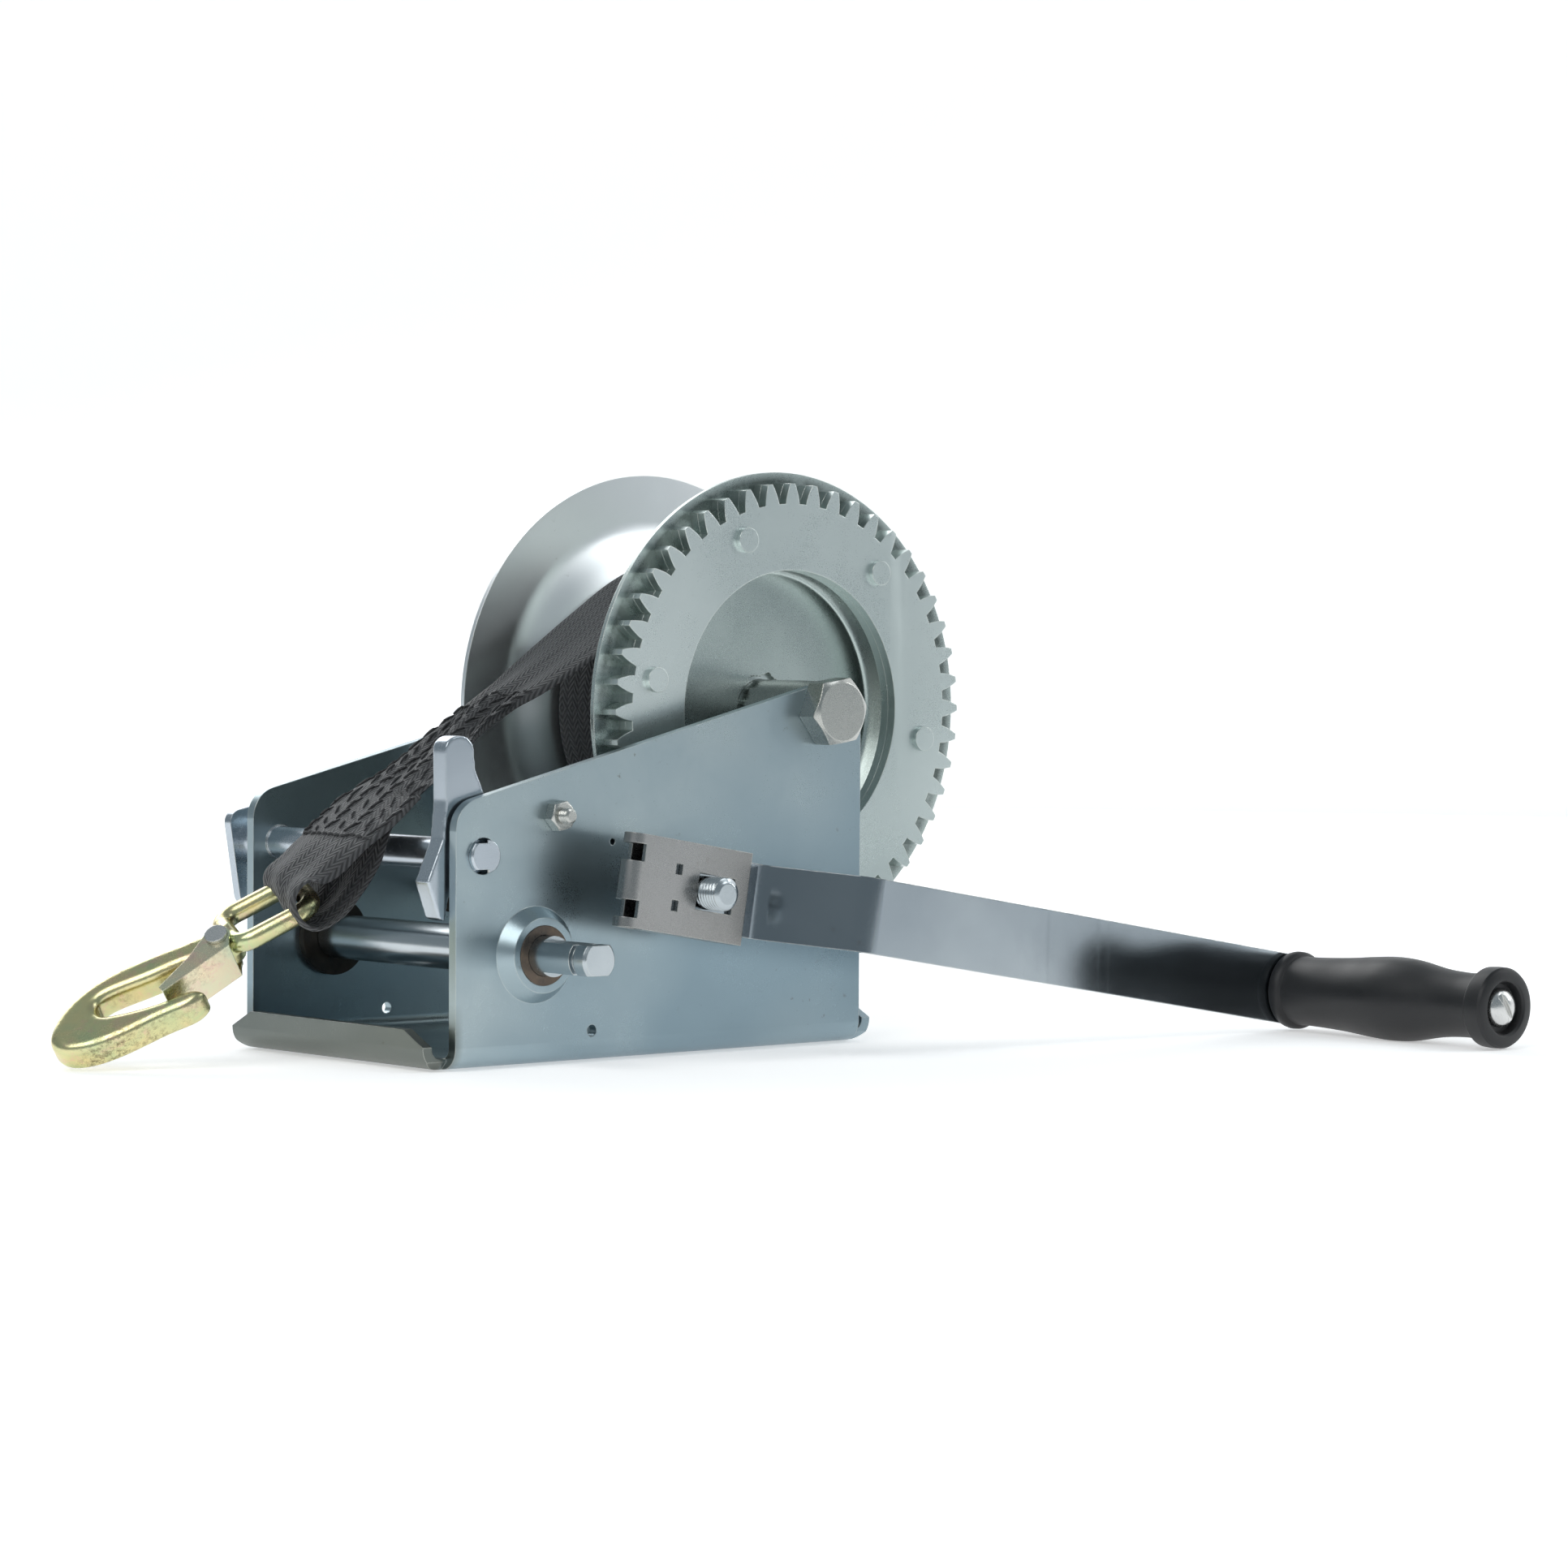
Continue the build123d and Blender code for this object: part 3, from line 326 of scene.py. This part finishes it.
PAINT = {
    FRAME_ZINC: ("frame",),
    GEAR_ZINC: ("gear_plate_front", "gear_plate_rear", "gear_rivets", "drum_core", "reduction_gear"),
    FLANGE_HIGHLIGHT_ZINC: ("flange_rim_near", "flange_wall_near", "flange_disc_near",
                  "flange_rim_far", "flange_wall_far", "flange_disc_far"),
    BOLT_ZINC: ("axle_bolt", "axle_nut", "axle_washer", "axle_spacer", "stop_bolt", "stop_sleeve", "stop_nut",
                "strap_pin", "pawl_spring", "latch_spring"),
    SHAFT_ZINC: ("shaft_a", "shaft_b", "low_pinion", "drum_pinion", "shaft_a_ring", "shaft_b_ring"),
    ARM_ZINC: ("crank_arm", "grip_screw"),
    PAWL_ZINC: ("pawl", "pawl_axle", "pawl_washer", "pawl_lever"),
    CLIP_ZINC: ("crank_clip",),
    BUSH_BLACK: ("bush_a_left", "bush_b_left", "bush_b_right"),
    BUSH_BROWN: ("bush_a_right",),
    GRIP_BLACK: ("crank_grip",),
    HOOK_GOLD: ("hook_body",),
    LATCH_GOLD: ("hook_latch",),
    RIVET_STEEL: ("hook_rivet",),
    STRAP_BLACK: ("strap_roll", "strap_tail"),
}
for material, names in PAINT.items():
    for name in names:
        data = nodes[name].data
        data.materials.clear()
        data.materials.append(material)


# ---- mesh helpers -------------------------------------------------------------------------------
def piece(name, points, faces, material, body=None, smooth=40.0, node=None, uv=None):
    """A mesh piece from points in millimetres. It rides on body, and stands for node if one is named."""
    data = bpy.data.meshes.new(name)
    data.from_pydata([tuple(c * MM for c in p) for p in points], [], faces)
    data.validate()
    solid = bmesh.new()
    solid.from_mesh(data)
    bmesh.ops.recalc_face_normals(solid, faces=solid.faces)
    solid.to_mesh(data)
    solid.free()
    data.materials.append(material)
    for polygon in data.polygons:
        polygon.use_smooth = True
    data.set_sharp_from_angle(angle=math.radians(smooth))
    if uv:
        layer = data.uv_layers.new(name="weave")
        for loop in data.loops:
            layer.data[loop.index].uv = uv[loop.vertex_index]
    thing = bpy.data.objects.new(name, data)
    bpy.context.scene.collection.objects.link(thing)
    if body:
        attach(thing, body)
    if node:
        for stood_for in (node,) if isinstance(node, str) else node:
            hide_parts(stood_for)
    return thing


def tube(rings, caps=True):
    """Faces that join equal rings of points one after another, and the points in one list."""
    size = len(rings[0])
    points = [p for ring in rings for p in ring]
    faces = []
    for i in range(len(rings) - 1):
        for j in range(size):
            k = (j + 1) % size
            faces.append((i * size + j, i * size + k, (i + 1) * size + k, (i + 1) * size + j))
    if caps:
        faces.append(tuple(range(size - 1, -1, -1)))
        last = (len(rings) - 1) * size
        faces.append(tuple(last + j for j in range(size)))
    return points, faces


def hoop(axis, places):
    """A ring of points about a line along Y through axis (x, z), from (y, radius) at even angles."""
    steps = len(places)
    turns = [math.tau * i / steps for i in range(steps)]
    return [(axis[0] + radius * math.cos(turn), y, axis[1] + radius * math.sin(turn))
            for turn, (y, radius) in zip(turns, places)]


def lathe(axis, profile, steps=96):
    """Round rings about a line along Y through axis (x, z), from (y, radius) pairs."""
    return [hoop(axis, [(y, radius)] * steps) for y, radius in profile]


def smooth_line(stations, count):
    """Catmull-Rom values through stations of (t, value, value...), evenly over t."""
    result = []
    for i in range(count):
        t = stations[0][0] + (stations[-1][0] - stations[0][0]) * i / (count - 1)
        k = max(j for j in range(len(stations) - 1) if stations[j][0] <= t + 1e-9)
        before = stations[max(k - 1, 0)]
        a, b = stations[k], stations[k + 1]
        after = stations[min(k + 2, len(stations) - 1)]
        u = (t - a[0]) / (b[0] - a[0])
        values = [t]
        for c in range(1, len(a)):
            span = b[0] - a[0]
            slope_a = (b[c] - before[c]) / max(b[0] - before[0], 1e-6) * span
            slope_b = (after[c] - a[c]) / max(after[0] - a[0], 1e-6) * span
            u2, u3 = u * u, u * u * u
            values.append(
                (2 * u3 - 3 * u2 + 1) * a[c]
                + (u3 - 2 * u2 + u) * slope_a
                + (-2 * u3 + 3 * u2) * b[c]
                + (u3 - u2) * slope_b
            )
        result.append(values)
    return result


# ---- turned and threaded pieces -----------------------------------------------------------------
def hexagon(name, axis, top, base, across_flats, material, node, turn=0.0, bore=0.0, dome=0.0):
    """A chamfered hexagon along Y, fixed to the frame, its outer face at y=top and its seat at y=base."""
    half = across_flats / 2
    out = -1 if top < base else 1
    steps = 120
    round_face = half * 0.96
    chamfer_slope = 0.58
    corner = math.pi / 3

    def reach(angle):
        return half / math.cos((angle - turn) % corner - corner / 2)

    rings = []
    for radius in (max(bore, 0.01), round_face * 0.97, round_face):
        drop = dome if radius > round_face * 0.98 else 0.0
        rings.append(hoop(axis, [(top - out * drop, radius)] * steps))
    reaches = [reach(math.tau * i / steps) for i in range(steps)]
    rings.append(hoop(axis, [(top - out * (dome + (r - round_face) * chamfer_slope), r) for r in reaches]))
    rings.append(hoop(axis, [(base + out * 0.25, r) for r in reaches]))
    rings.append(hoop(axis, [(base, r - 0.25) for r in reaches]))
    if out > 0:
        rings = [ring[::-1] for ring in rings]
    points, faces = tube(rings)
    return piece(name, points, faces, material, "frame", 28.0, node)


def threaded(name, axis, start, end, radius, pitch, material, body, steps=40):
    """A helical thread along Y from start, its tip, to end."""
    depth = pitch * 0.52
    levels = int(abs(end - start) / pitch * 6) + 1
    rings = [hoop(axis, [(start, 0.6 * radius)] * steps)]
    for k in range(levels + 1):
        y = start + (end - start) * k / levels
        turns_in = abs(y - start) / pitch
        lead = min(1.0, 0.72 + 0.5 * turns_in)
        ring = []
        for i in range(steps):
            ridge = abs(2 * ((turns_in + i / steps) % 1.0) - 1)
            ring.append((y, (radius - depth * (1 - ridge)) * lead))
        rings.append(hoop(axis, ring))
    if end < start:
        rings = [ring[::-1] for ring in rings]
    points, faces = tube(rings)
    return piece(name, points, faces, material, body, 50.0)


M16_FLATS = 24.0
M6_FLATS = 10.0
hexagon("axle_head", DRUM, -75.5, -65.5, M16_FLATS, BOLT_ZINC, "axle_bolt", math.radians(8), dome=0.3)
points, faces = tube(lathe(DRUM, [(-65.6, 8.0), (68.0, 8.0), (68.0, 6.5)], 64))
piece("axle_shank", points, faces, BOLT_ZINC, "frame")
threaded("axle_thread", DRUM, 85.0, 68.0, 7.95, 2.0, BOLT_ZINC, "frame")
hexagon("axle_nut_face", DRUM, 81.5, 68.6, M16_FLATS, BOLT_ZINC, "axle_nut", 0.0, 8.1, 0.2)
threaded("stop_thread", STOP, -75.0, -65.6, 2.95, 1.0, BOLT_ZINC, "frame", 24)
points, faces = tube(lathe(STOP, [(-65.7, 2.4), (-49.9, 2.4)], 32))
piece("stop_shank", points, faces, BOLT_ZINC, "frame")
hexagon("stop_head", STOP, -46.0, -50.0, M6_FLATS, BOLT_ZINC, "stop_bolt", 0.0, dome=0.1)
hexagon("stop_nut_face", STOP, -70.5, -65.5, M6_FLATS, BOLT_ZINC, "stop_nut", math.radians(12), 2.6, 0.1)
threaded("high_thread", HIGH_SHAFT, -104.4, -93.1, 6.3, 1.5, SHAFT_ZINC, "shaft_b")
shaft_outline = [(-93.2, 5.4), (-87.0, 5.4), (-87.0, 9.0), (69.4, 9.0), (70.0, 8.4)]
points, faces = tube(lathe(HIGH_SHAFT, shaft_outline, 64))
piece("high_shaft", points, faces, SHAFT_ZINC, "shaft_b", 40.0, "shaft_b")


# ---- drum flanges -------------------------------------------------------------------------------
def flange_pressing(side, material, rim, disc, sheet, dish_start, dish_width):
    """A dished flange pressed from sheet, with soft bends and a torn hole at its middle."""
    steps = 180
    radii = [13.6, 14.4, 24.0, 38.0, 47.0] + [50.0 + 0.5 * k for k in range(60)] + [84.0, 91.2, 91.8]
    face = []
    for radius in radii:
        t = min(1.0, max(0.0, (radius - dish_start) / dish_width))
        face.append((disc + (rim - disc) * t * t * (3 - 2 * t), radius))
    back = [(y + sheet, radius) for y, radius in reversed(face)]
    rings = lathe(DRUM, face + back, steps)
    for ring in (rings[0], rings[-1]):
        for k, (x, y, z) in enumerate(ring):
            torn = 1 + 0.045 * math.sin(k * 0.35) + random.uniform(-0.03, 0.03)
            ring[k] = (DRUM[0] + (x - DRUM[0]) * torn, y, DRUM[1] + (z - DRUM[1]) * torn)
    points, faces = tube(rings, caps=False)
    last = (len(rings) - 1) * steps
    faces += [(last + k, last + (k + 1) % steps, (k + 1) % steps, k) for k in range(steps)]
    stood_for = tuple(f"flange_{part}_{side}" for part in ("rim", "wall", "disc"))
    return piece(f"flange_{side}", points, faces, material, "drum", 35.0, stood_for)


flange_pressing("near", SHADED_RIM_ZINC, -37.9, -28.9, 2.0, 53.0, 8.0)
# The far flange's near-white tint is a painted highlight.
flange_pressing("far", FLANGE_HIGHLIGHT_ZINC, 44.3, 35.3, -2.0, 50.0, 24.0)


# ---- handle -------------------------------------------------------------------------------------
def cut(thing, cutter):
    """thing with the cutter's shape taken out of it for good."""
    modifier = thing.modifiers.new("cut", "BOOLEAN")
    modifier.operation = "DIFFERENCE"
    modifier.object = cutter
    modifier.solver = "EXACT"
    bpy.context.view_layer.update()
    graph = bpy.context.evaluated_depsgraph_get()
    fresh = bpy.data.meshes.new_from_object(thing.evaluated_get(graph))
    thing.modifiers.clear()
    thing.data = fresh
    for polygon in fresh.polygons:
        polygon.use_smooth = True
    fresh.set_sharp_from_angle(angle=math.radians(35))
    bpy.data.objects.remove(cutter)


def block(name, half, material):
    """A plain box about the origin with half sizes in millimetres."""
    corners = ((-1, -1), (1, -1), (1, 1), (-1, 1))
    points = [(half[0] * a, half[1] * b, half[2] * c) for c in (-1, 1) for a, b in corners]
    faces = [(0, 3, 2, 1), (4, 5, 6, 7), (0, 1, 5, 4), (1, 2, 6, 5), (2, 3, 7, 6), (3, 0, 4, 7)]
    return piece(name, points, faces, material)


# (y, radius) down the grip: the rounded end collar, the swelling hold, and the rim at the arm.
collar = [(-237.0, 5.1), (-237.0, 9.3), (-238.5, 9.8), (-240.2, 10.2), (-241.0, 11.0), (-241.0, 13.6),
          (-240.5, 14.9), (-239.4, 15.6), (-236.0, 15.7), (-232.8, 15.5), (-231.9, 14.9), (-231.4, 13.6),
          (-230.6, 12.9)]
hold = smooth_line([(-228.5, 12.7), (-222.0, 12.5), (-210.0, 13.4), (-196.0, 15.8), (-186.0, 16.5),
                    (-176.0, 16.0), (-160.0, 14.6), (-144.0, 13.8), (-137.5, 13.7)], 40)
arm_rim = [(-136.0, 13.9), (-135.2, 14.9), (-134.2, 15.4), (-132.2, 15.5), (-130.8, 15.2), (-130.3, 14.6),
           (-130.3, 5.1)]
points, faces = tube(lathe(GRIP, collar + [tuple(v) for v in hold] + arm_rim))
piece("handle_grip", points, faces, GRIP_BLACK, "grip", 30.0, "crank_grip")

screw_outline = [(-241.8, 0.05), (-241.7, 2.5), (-241.2, 4.6), (-240.3, 6.3), (-239.2, 7.3), (-238.2, 7.6),
                 (-237.1, 7.6), (-237.1, 5.0), (-124.2, 5.0), (-124.2, 8.0), (-120.2, 7.2), (-119.9, 3.0)]
points, faces = tube(lathe(GRIP, screw_outline, 64))
screw = piece("grip_screw", points, faces, RIVET_STEEL, None, 30.0)
slot_cutter = block("slot", (9.0, 1.0, 1.15), RIVET_STEEL)
slot_place = Vector((GRIP[0], -241.5, GRIP[1])) * MM
slot_cutter.matrix_world = Matrix.Translation(slot_place) @ Matrix.Rotation(math.radians(58), 4, "Y")
cut(screw, slot_cutter)
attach(screw, "shaft_b")
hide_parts("grip_screw")

# ---- the strap's wound part ---------------------------------------------------------------------
STRAP_MIDDLE = 3.2
STRAP_HALF = 25.0
ROLL = 56.3
CORE = 17.3


def roll_profile():
    """(y, radius) down one side of the roll, over its outside and back up the other."""
    layer = 1.5
    count = int((ROLL - CORE) / layer)
    sideways = [random.uniform(0.0, 0.7) for i in range(count)]
    near, far = [], []
    for k in range(count):
        inner = CORE + k * layer
        reach = STRAP_HALF - sideways[k]
        for part, back in ((0.06, 0.55), (0.3, 0.0), (0.7, 0.0), (0.94, 0.55)):
            near.append((STRAP_MIDDLE - reach + back, inner + part * layer))
            far.append((STRAP_MIDDLE + reach - back, inner + part * layer))
    outside = [(STRAP_MIDDLE + (t / 12 - 0.5) * 2 * (STRAP_HALF - 0.4), ROLL) for t in range(13)]
    return near + outside + list(reversed(far))


profile = roll_profile()
steps = 120
points, faces = tube(lathe(DRUM, profile, steps), caps=False)
last = (len(profile) - 1) * steps
faces += [(j, last + j, last + (j + 1) % steps, (j + 1) % steps) for j in range(steps)]
roll_uv = []
for y, radius in profile:
    for i in range(steps):
        turn = min(i, steps - i)
        roll_uv.append(((y - STRAP_MIDDLE) * MM, math.tau * radius * turn / steps * MM))
piece("wound_strap", points, faces, STRAP_BLACK, "drum", 60.0, "strap_roll", roll_uv)

# ---- the strap's free end -----------------------------------------------------------------------
THICK = 1.5
SLOPE = math.radians(31.6)
ROLL_LINE = 57.7


# The pulled strap's upper layer, down the slope: x, y, half width, crown.
PULLED = (
    (30, 3.2, 24.6, 0.4), (14, 3.2, 23.4, 0.8), (0, 3.3, 21.5, 1.2), (-13, 4.0, 18.6, 1.9),
    (-24, 6.0, 15.3, 3.0), (-38, 5.7, 13.8, 3.2), (-49, 4.6, 15.6, 2.2), (-58, 2.2, 17.0, 1.6),
    (-72, 1.8, 19.6, 1.2), (-81, 2.8, 22.6, 1.0), (-90, 0.8, 23.8, 1.4), (-100, -1.2, 23.8, 2.0),
    (-108, -1.2, 22.8, 2.6),
)
# The loop through the hook's eye: x, y, z, width direction x, y, z, half width, crown.
LOOP = (
    (-117, -0.2, 73.0, 0.12, 0.96, 0.16, 20.0, 3.0), (-124.6, 0.8, 67.4, 0.26, 0.93, 0.2, 19.0, 2.0),
    (-126.4, 0.4, 61.4, 0.33, 0.91, 0.23, 17.6, 1.2), (-123.6, -0.8, 55.4, 0.33, 0.91, 0.23, 16.4, 0.8),
    (-117.6, -1.6, 53.0, 0.3, 0.93, 0.2, 14.0, 0.5), (-110.9, -2.2, 56.4, 0.2, 0.95, 0.16, 16.0, 0.2),
    (-105.4, -2.4, 63.6, 0.1, 0.98, 0.12, 18.4, 0.3), (-101.0, -2.0, 72.4, 0.0, 1.0, 0.06, 21.0, 0.6),
)
# The layer stitched underneath, back up the slope: x, y, half width, crown.
UNDERSIDE = (
    (-95, -0.4, 23.0, 1.0), (-88, 1.0, 23.4, 1.2), (-80, 2.8, 22.2, 1.0), (-72, 1.8, 19.2, 1.2),
    (-58, 2.2, 16.6, 1.6), (-49, 4.6, 15.2, 2.2), (-38, 5.7, 13.4, 3.2), (-26, 6.0, 14.6, 3.0),
)


def strap_place(x):
    """The height of the pulled strap's middle surface at x."""
    touch_x = DRUM[0] - ROLL_LINE * math.sin(SLOPE)
    touch_z = DRUM[1] + ROLL_LINE * math.cos(SLOPE)
    return touch_z - (touch_x - x) * math.tan(SLOPE)


def strap_rows():
    """Rows like LOOP's from the roll to the loop and back, and which of them start PULLED and LOOP."""
    rows = []
    # Over the back and the top of the roll, sinking into it at the hidden end.
    for degrees in range(-60, 121, 20):
        angle = math.radians(degrees)
        sink = 1.35 * (1 - min(1.0, (degrees + 60) / 60))
        radius = ROLL_LINE - 0.5 - sink if degrees < 100 else ROLL_LINE - 0.1
        x, z = DRUM[0] + radius * math.cos(angle), DRUM[1] + radius * math.sin(angle)
        rows.append((x, STRAP_MIDDLE, z, 0, 1, 0, 24.8, 0.0))
    first_pulled = len(rows)
    rows += [(x, y, strap_place(x), 0, 1, 0, half, crown) for x, y, half, crown in PULLED]
    first_loop = len(rows)
    rows += LOOP
    layer_gap = (THICK + 0.12) / math.cos(SLOPE)
    for x, y, half, crown in UNDERSIDE:
        sag = 1.2 if x < -90 else 0.0
        rows.append((x, y, strap_place(x) - layer_gap - sag, 0, 1, 0, half, crown))
    return rows, first_pulled, first_loop


rows, first_pulled, first_loop = strap_rows()
lengths = [0.0]
for before, after in zip(rows, rows[1:]):
    lengths.append(lengths[-1] + math.dist(before[:3], after[:3]))
SAMPLES = 380
line = smooth_line([(s, *row) for s, row in zip(lengths, rows)], SAMPLES)
UPPER = [next(i for i in range(SAMPLES) if line[i][0] >= lengths[row]) for row in (first_pulled, first_loop)]


def strap_frame(i):
    """(middle, width direction, outward direction, half width, crown, length so far) at sample i."""
    row = line[i]
    middle = Vector(row[1:4])
    ahead = Vector(line[min(i + 1, SAMPLES - 1)][1:4]) - Vector(line[max(i - 1, 0)][1:4])
    width = Vector(row[4:7])
    ahead.normalize()
    width = (width - ahead * width.dot(ahead)).normalized()
    outward = width.cross(ahead)
    return middle, width, outward, row[7], row[8], row[0]


def strap_surface(i, u, lift=0.0):
    """A point on the strap at sample i and u from -1 to 1 across, lifted off the middle surface."""
    middle, width, outward, half, crown, s = strap_frame(i)
    # Where the strap is gathered, it folds into ripples.
    squeeze = max(0.0, 1.0 - half / 24.0)
    ripple = squeeze * 3.2 * math.cos(u * 7.0 + s * 0.045)
    arch = crown * (1 - u * u)
    return middle + width * (u * half) + outward * (arch + ripple - crown * 0.6 + lift)


COLUMNS = 26
rings, uvs = [], []
for i in range(SAMPLES):
    ring = []
    for side in (1, -1):
        for c in range(COLUMNS + 1):
            u = (c / COLUMNS * 2 - 1) * side
            edge = min(1.0, (1 - abs(u)) * line[i][7] / 0.5 + 0.25)
            ring.append(tuple(strap_surface(i, u, side * THICK / 2 * edge)))
            uvs.append((u * STRAP_HALF * MM, line[i][0] * MM))
    rings.append(ring)
points, faces = tube(rings)
faces = [face[::-1] for face in faces]
strap = piece("strap_tail", points, faces, STRAP_BLACK, "frame", 70.0, "strap_tail", uvs)


# ---- stitching ----------------------------------------------------------------------------------
def stitch_rings(start, end, radius):
    """A short sagging thread between two places on the strap's upper layer, each (x, u)."""
    rings = []
    rounds, sides = 7, 7
    for k in range(rounds):
        t = k / (rounds - 1)
        x = start[0] + (end[0] - start[0]) * t
        u = start[1] + (end[1] - start[1]) * t
        i = min(range(*UPPER), key=lambda sample: abs(line[sample][1] - x))
        middle, width, outward, half, crown, s = strap_frame(i)
        bulge = math.sin(math.pi * t)
        centre = strap_surface(i, u, THICK / 2 + 0.5 * bulge + 0.1)
        girth = radius * (0.45 + 0.55 * bulge) + 0.05
        ahead = width.cross(outward)
        heading = (ahead * -(end[0] - start[0]) + width * (end[1] - start[1]) * half).normalized()
        side = heading.cross(outward).normalized()
        rings.append([tuple(centre + side * (girth * math.cos(a)) + outward * (girth * 0.8 * math.sin(a)))
                      for a in (math.tau * j / sides for j in range(sides))])
    return rings


stitch_points, stitch_faces = [], []


def add_stitch(start, end, radius=0.62):
    """Adds one stitch to the lists that make the stitching one piece."""
    points, faces = tube(stitch_rings(start, end, radius))
    shift = len(stitch_points)
    stitch_points.extend(points)
    stitch_faces.extend(tuple(v + shift for v in face) for face in faces)


# Long rows of slanted stitches, each row slanted the other way from its neighbour.
ROWS = (-0.86, -0.56, -0.27, 0.03, 0.32, 0.61, 0.88)
for row_index, u in enumerate(ROWS):
    x = -104.0 + random.uniform(0.0, 2.0)
    stop = -20.0 - 14.0 * (u + 1) / 2
    while x < stop:
        length = random.uniform(4.6, 5.8)
        slant = 0.055 * (1 if row_index % 2 else -1)
        wander = random.uniform(-0.015, 0.015)
        add_stitch((x, u + wander - slant), (x + length, u + wander + slant))
        x += length + random.uniform(0.9, 1.5)
# One row across at the loop, and one at the stitching's upper end.
for k in range(11):
    u = -0.92 + 0.168 * k
    sag = 1.4 * (1 - abs(u))
    add_stitch((-104.6 - sag, u), (-104.6 - sag - 0.3, u + 0.15), 0.6)
for k in range(7):
    u = -0.9 + 0.25 * k
    lean = 15.0 * (u + 1) / 2
    add_stitch((-17.0 - lean, u), (-18.4 - lean, u + 0.2), 0.5)
piece("strap_stitching", stitch_points, stitch_faces, THREAD_BLACK, "frame", 60.0)


# ---- forged pieces: the CAD solids with their corners softened -----------------------------------
def forge(node, grain, rounds):
    """Softens a CAD node's corners without moving it. grain is the remesh size in millimetres."""
    thing = nodes[node]
    remesh = thing.modifiers.new("even", "REMESH")
    remesh.mode = "VOXEL"
    remesh.voxel_size = grain * MM
    remesh.use_smooth_shade = True
    soften = thing.modifiers.new("soften", "SMOOTH")
    soften.factor = 0.5
    soften.iterations = rounds


forge("hook_body", 0.55, 14)
forge("pawl", 0.5, 9)

# ---- camera, light, floor -----------------------------------------------------------------------
CAMERA_PLACE = Vector((-1.13625, -1.43338, 0.16792))
CAMERA_YAW = math.radians(41.1376)
CAMERA_PITCH = math.radians(2.1289)
CAMERA_ROLL = math.radians(0.3298)
LENS = 109.57
forward = Vector((math.sin(CAMERA_YAW) * math.cos(CAMERA_PITCH),
                  math.cos(CAMERA_YAW) * math.cos(CAMERA_PITCH),
                  -math.sin(CAMERA_PITCH)))
level = Vector((math.cos(CAMERA_YAW), -math.sin(CAMERA_YAW), 0.0))
above = level.cross(forward)
right = level * math.cos(CAMERA_ROLL) + above * math.sin(CAMERA_ROLL)
up = above * math.cos(CAMERA_ROLL) - level * math.sin(CAMERA_ROLL)
camera_data = bpy.data.cameras.new("camera")
camera_data.lens = LENS
camera_data.sensor_width = 36.0
camera_data.clip_start = 0.05
camera_data.dof.use_dof = False
camera = bpy.data.objects.new("camera", camera_data)
camera.matrix_world = Matrix((
    (right.x, up.x, -forward.x, CAMERA_PLACE.x),
    (right.y, up.y, -forward.y, CAMERA_PLACE.y),
    (right.z, up.z, -forward.z, CAMERA_PLACE.z),
    (0, 0, 0, 1),
))
bpy.context.scene.collection.objects.link(camera)
bpy.context.scene.camera = camera


def lamp(name, place, aim, width, height, power, tint=(1.0, 1.0, 1.0)):
    """A soft rectangular lamp at place, turned towards aim. Metres and watts."""
    data = bpy.data.lights.new(name, "AREA")
    data.shape = "RECTANGLE"
    data.size = width
    data.size_y = height
    data.energy = power
    data.color = tint
    thing = bpy.data.objects.new(name, data)
    thing.location = place
    thing.rotation_euler = (Vector(aim) - Vector(place)).to_track_quat("-Z", "Y").to_euler()
    bpy.context.scene.collection.objects.link(thing)


lamp("key", (-1.6, -0.5, 1.7), (0, 0, 0.1), 1.5, 1.5, 18.0, (1.0, 0.99, 0.97))
lamp("side", (1.2, -1.6, 1.9), (0.05, -0.05, 0.08), 1.0, 1.0, 7.0, (0.97, 0.99, 1.0))
lamp("strip", (1.9, -1.1, 0.85), (0.05, 0.0, 0.1), 0.2, 1.0, 5.0)
lamp("back", (0.4, 2.0, 1.6), (0, 0, 0.1), 1.6, 1.6, 16.0)
world = bpy.data.worlds.new("studio")
world.use_nodes = True
background = world.node_tree.nodes["Background"]
background.inputs["Color"].default_value = (0.60, 0.70, 0.76, 1.0)
background.inputs["Strength"].default_value = 0.42
bpy.context.scene.world = world
bpy.context.scene.view_settings.view_transform = "Standard"

backdrop_graph = Graph("backdrop")
backdrop_graph.set(Base_Color=(0.92, 0.92, 0.92), Roughness=0.9,
                   Emission_Color=(1.0, 1.0, 1.0), Emission_Strength=0.42)
# A round floor, in metres, that curves up into a wall on the side behind the object.
FLOOR_REACH = 2.2
BEND = 1.2
WALL_TOP = 3.4
FLOOR_DROP = 0.0006
SIDES = 48
WALL_SIDES = range(-4, 13)
sweep = [(FLOOR_REACH, 0.0)]
for k in range(1, 9):
    bend = math.pi / 2 * k / 8
    sweep.append((FLOOR_REACH + BEND * math.sin(bend), BEND * (1 - math.cos(bend))))
sweep.append((FLOOR_REACH + BEND, WALL_TOP))
turns = [math.tau * k / SIDES for k in range(SIDES)]
points = [(reach * math.cos(turn), reach * math.sin(turn), height - FLOOR_DROP)
          for reach, height in sweep for turn in turns]
faces = []
for ring in range(len(sweep) - 1):
    low, high = ring * SIDES, (ring + 1) * SIDES
    for k in WALL_SIDES:
        here, after = k % SIDES, (k + 1) % SIDES
        faces.append((low + here, low + after, high + after, high + here))
faces.append(tuple(range(SIDES)))
backdrop_data = bpy.data.meshes.new("backdrop")
backdrop_data.from_pydata(points, [], faces)
backdrop_data.materials.append(backdrop_graph.material)
for polygon in backdrop_data.polygons:
    polygon.use_smooth = len(polygon.vertices) == 4
backdrop = bpy.data.objects.new("backdrop", backdrop_data)
bpy.context.scene.collection.objects.link(backdrop)
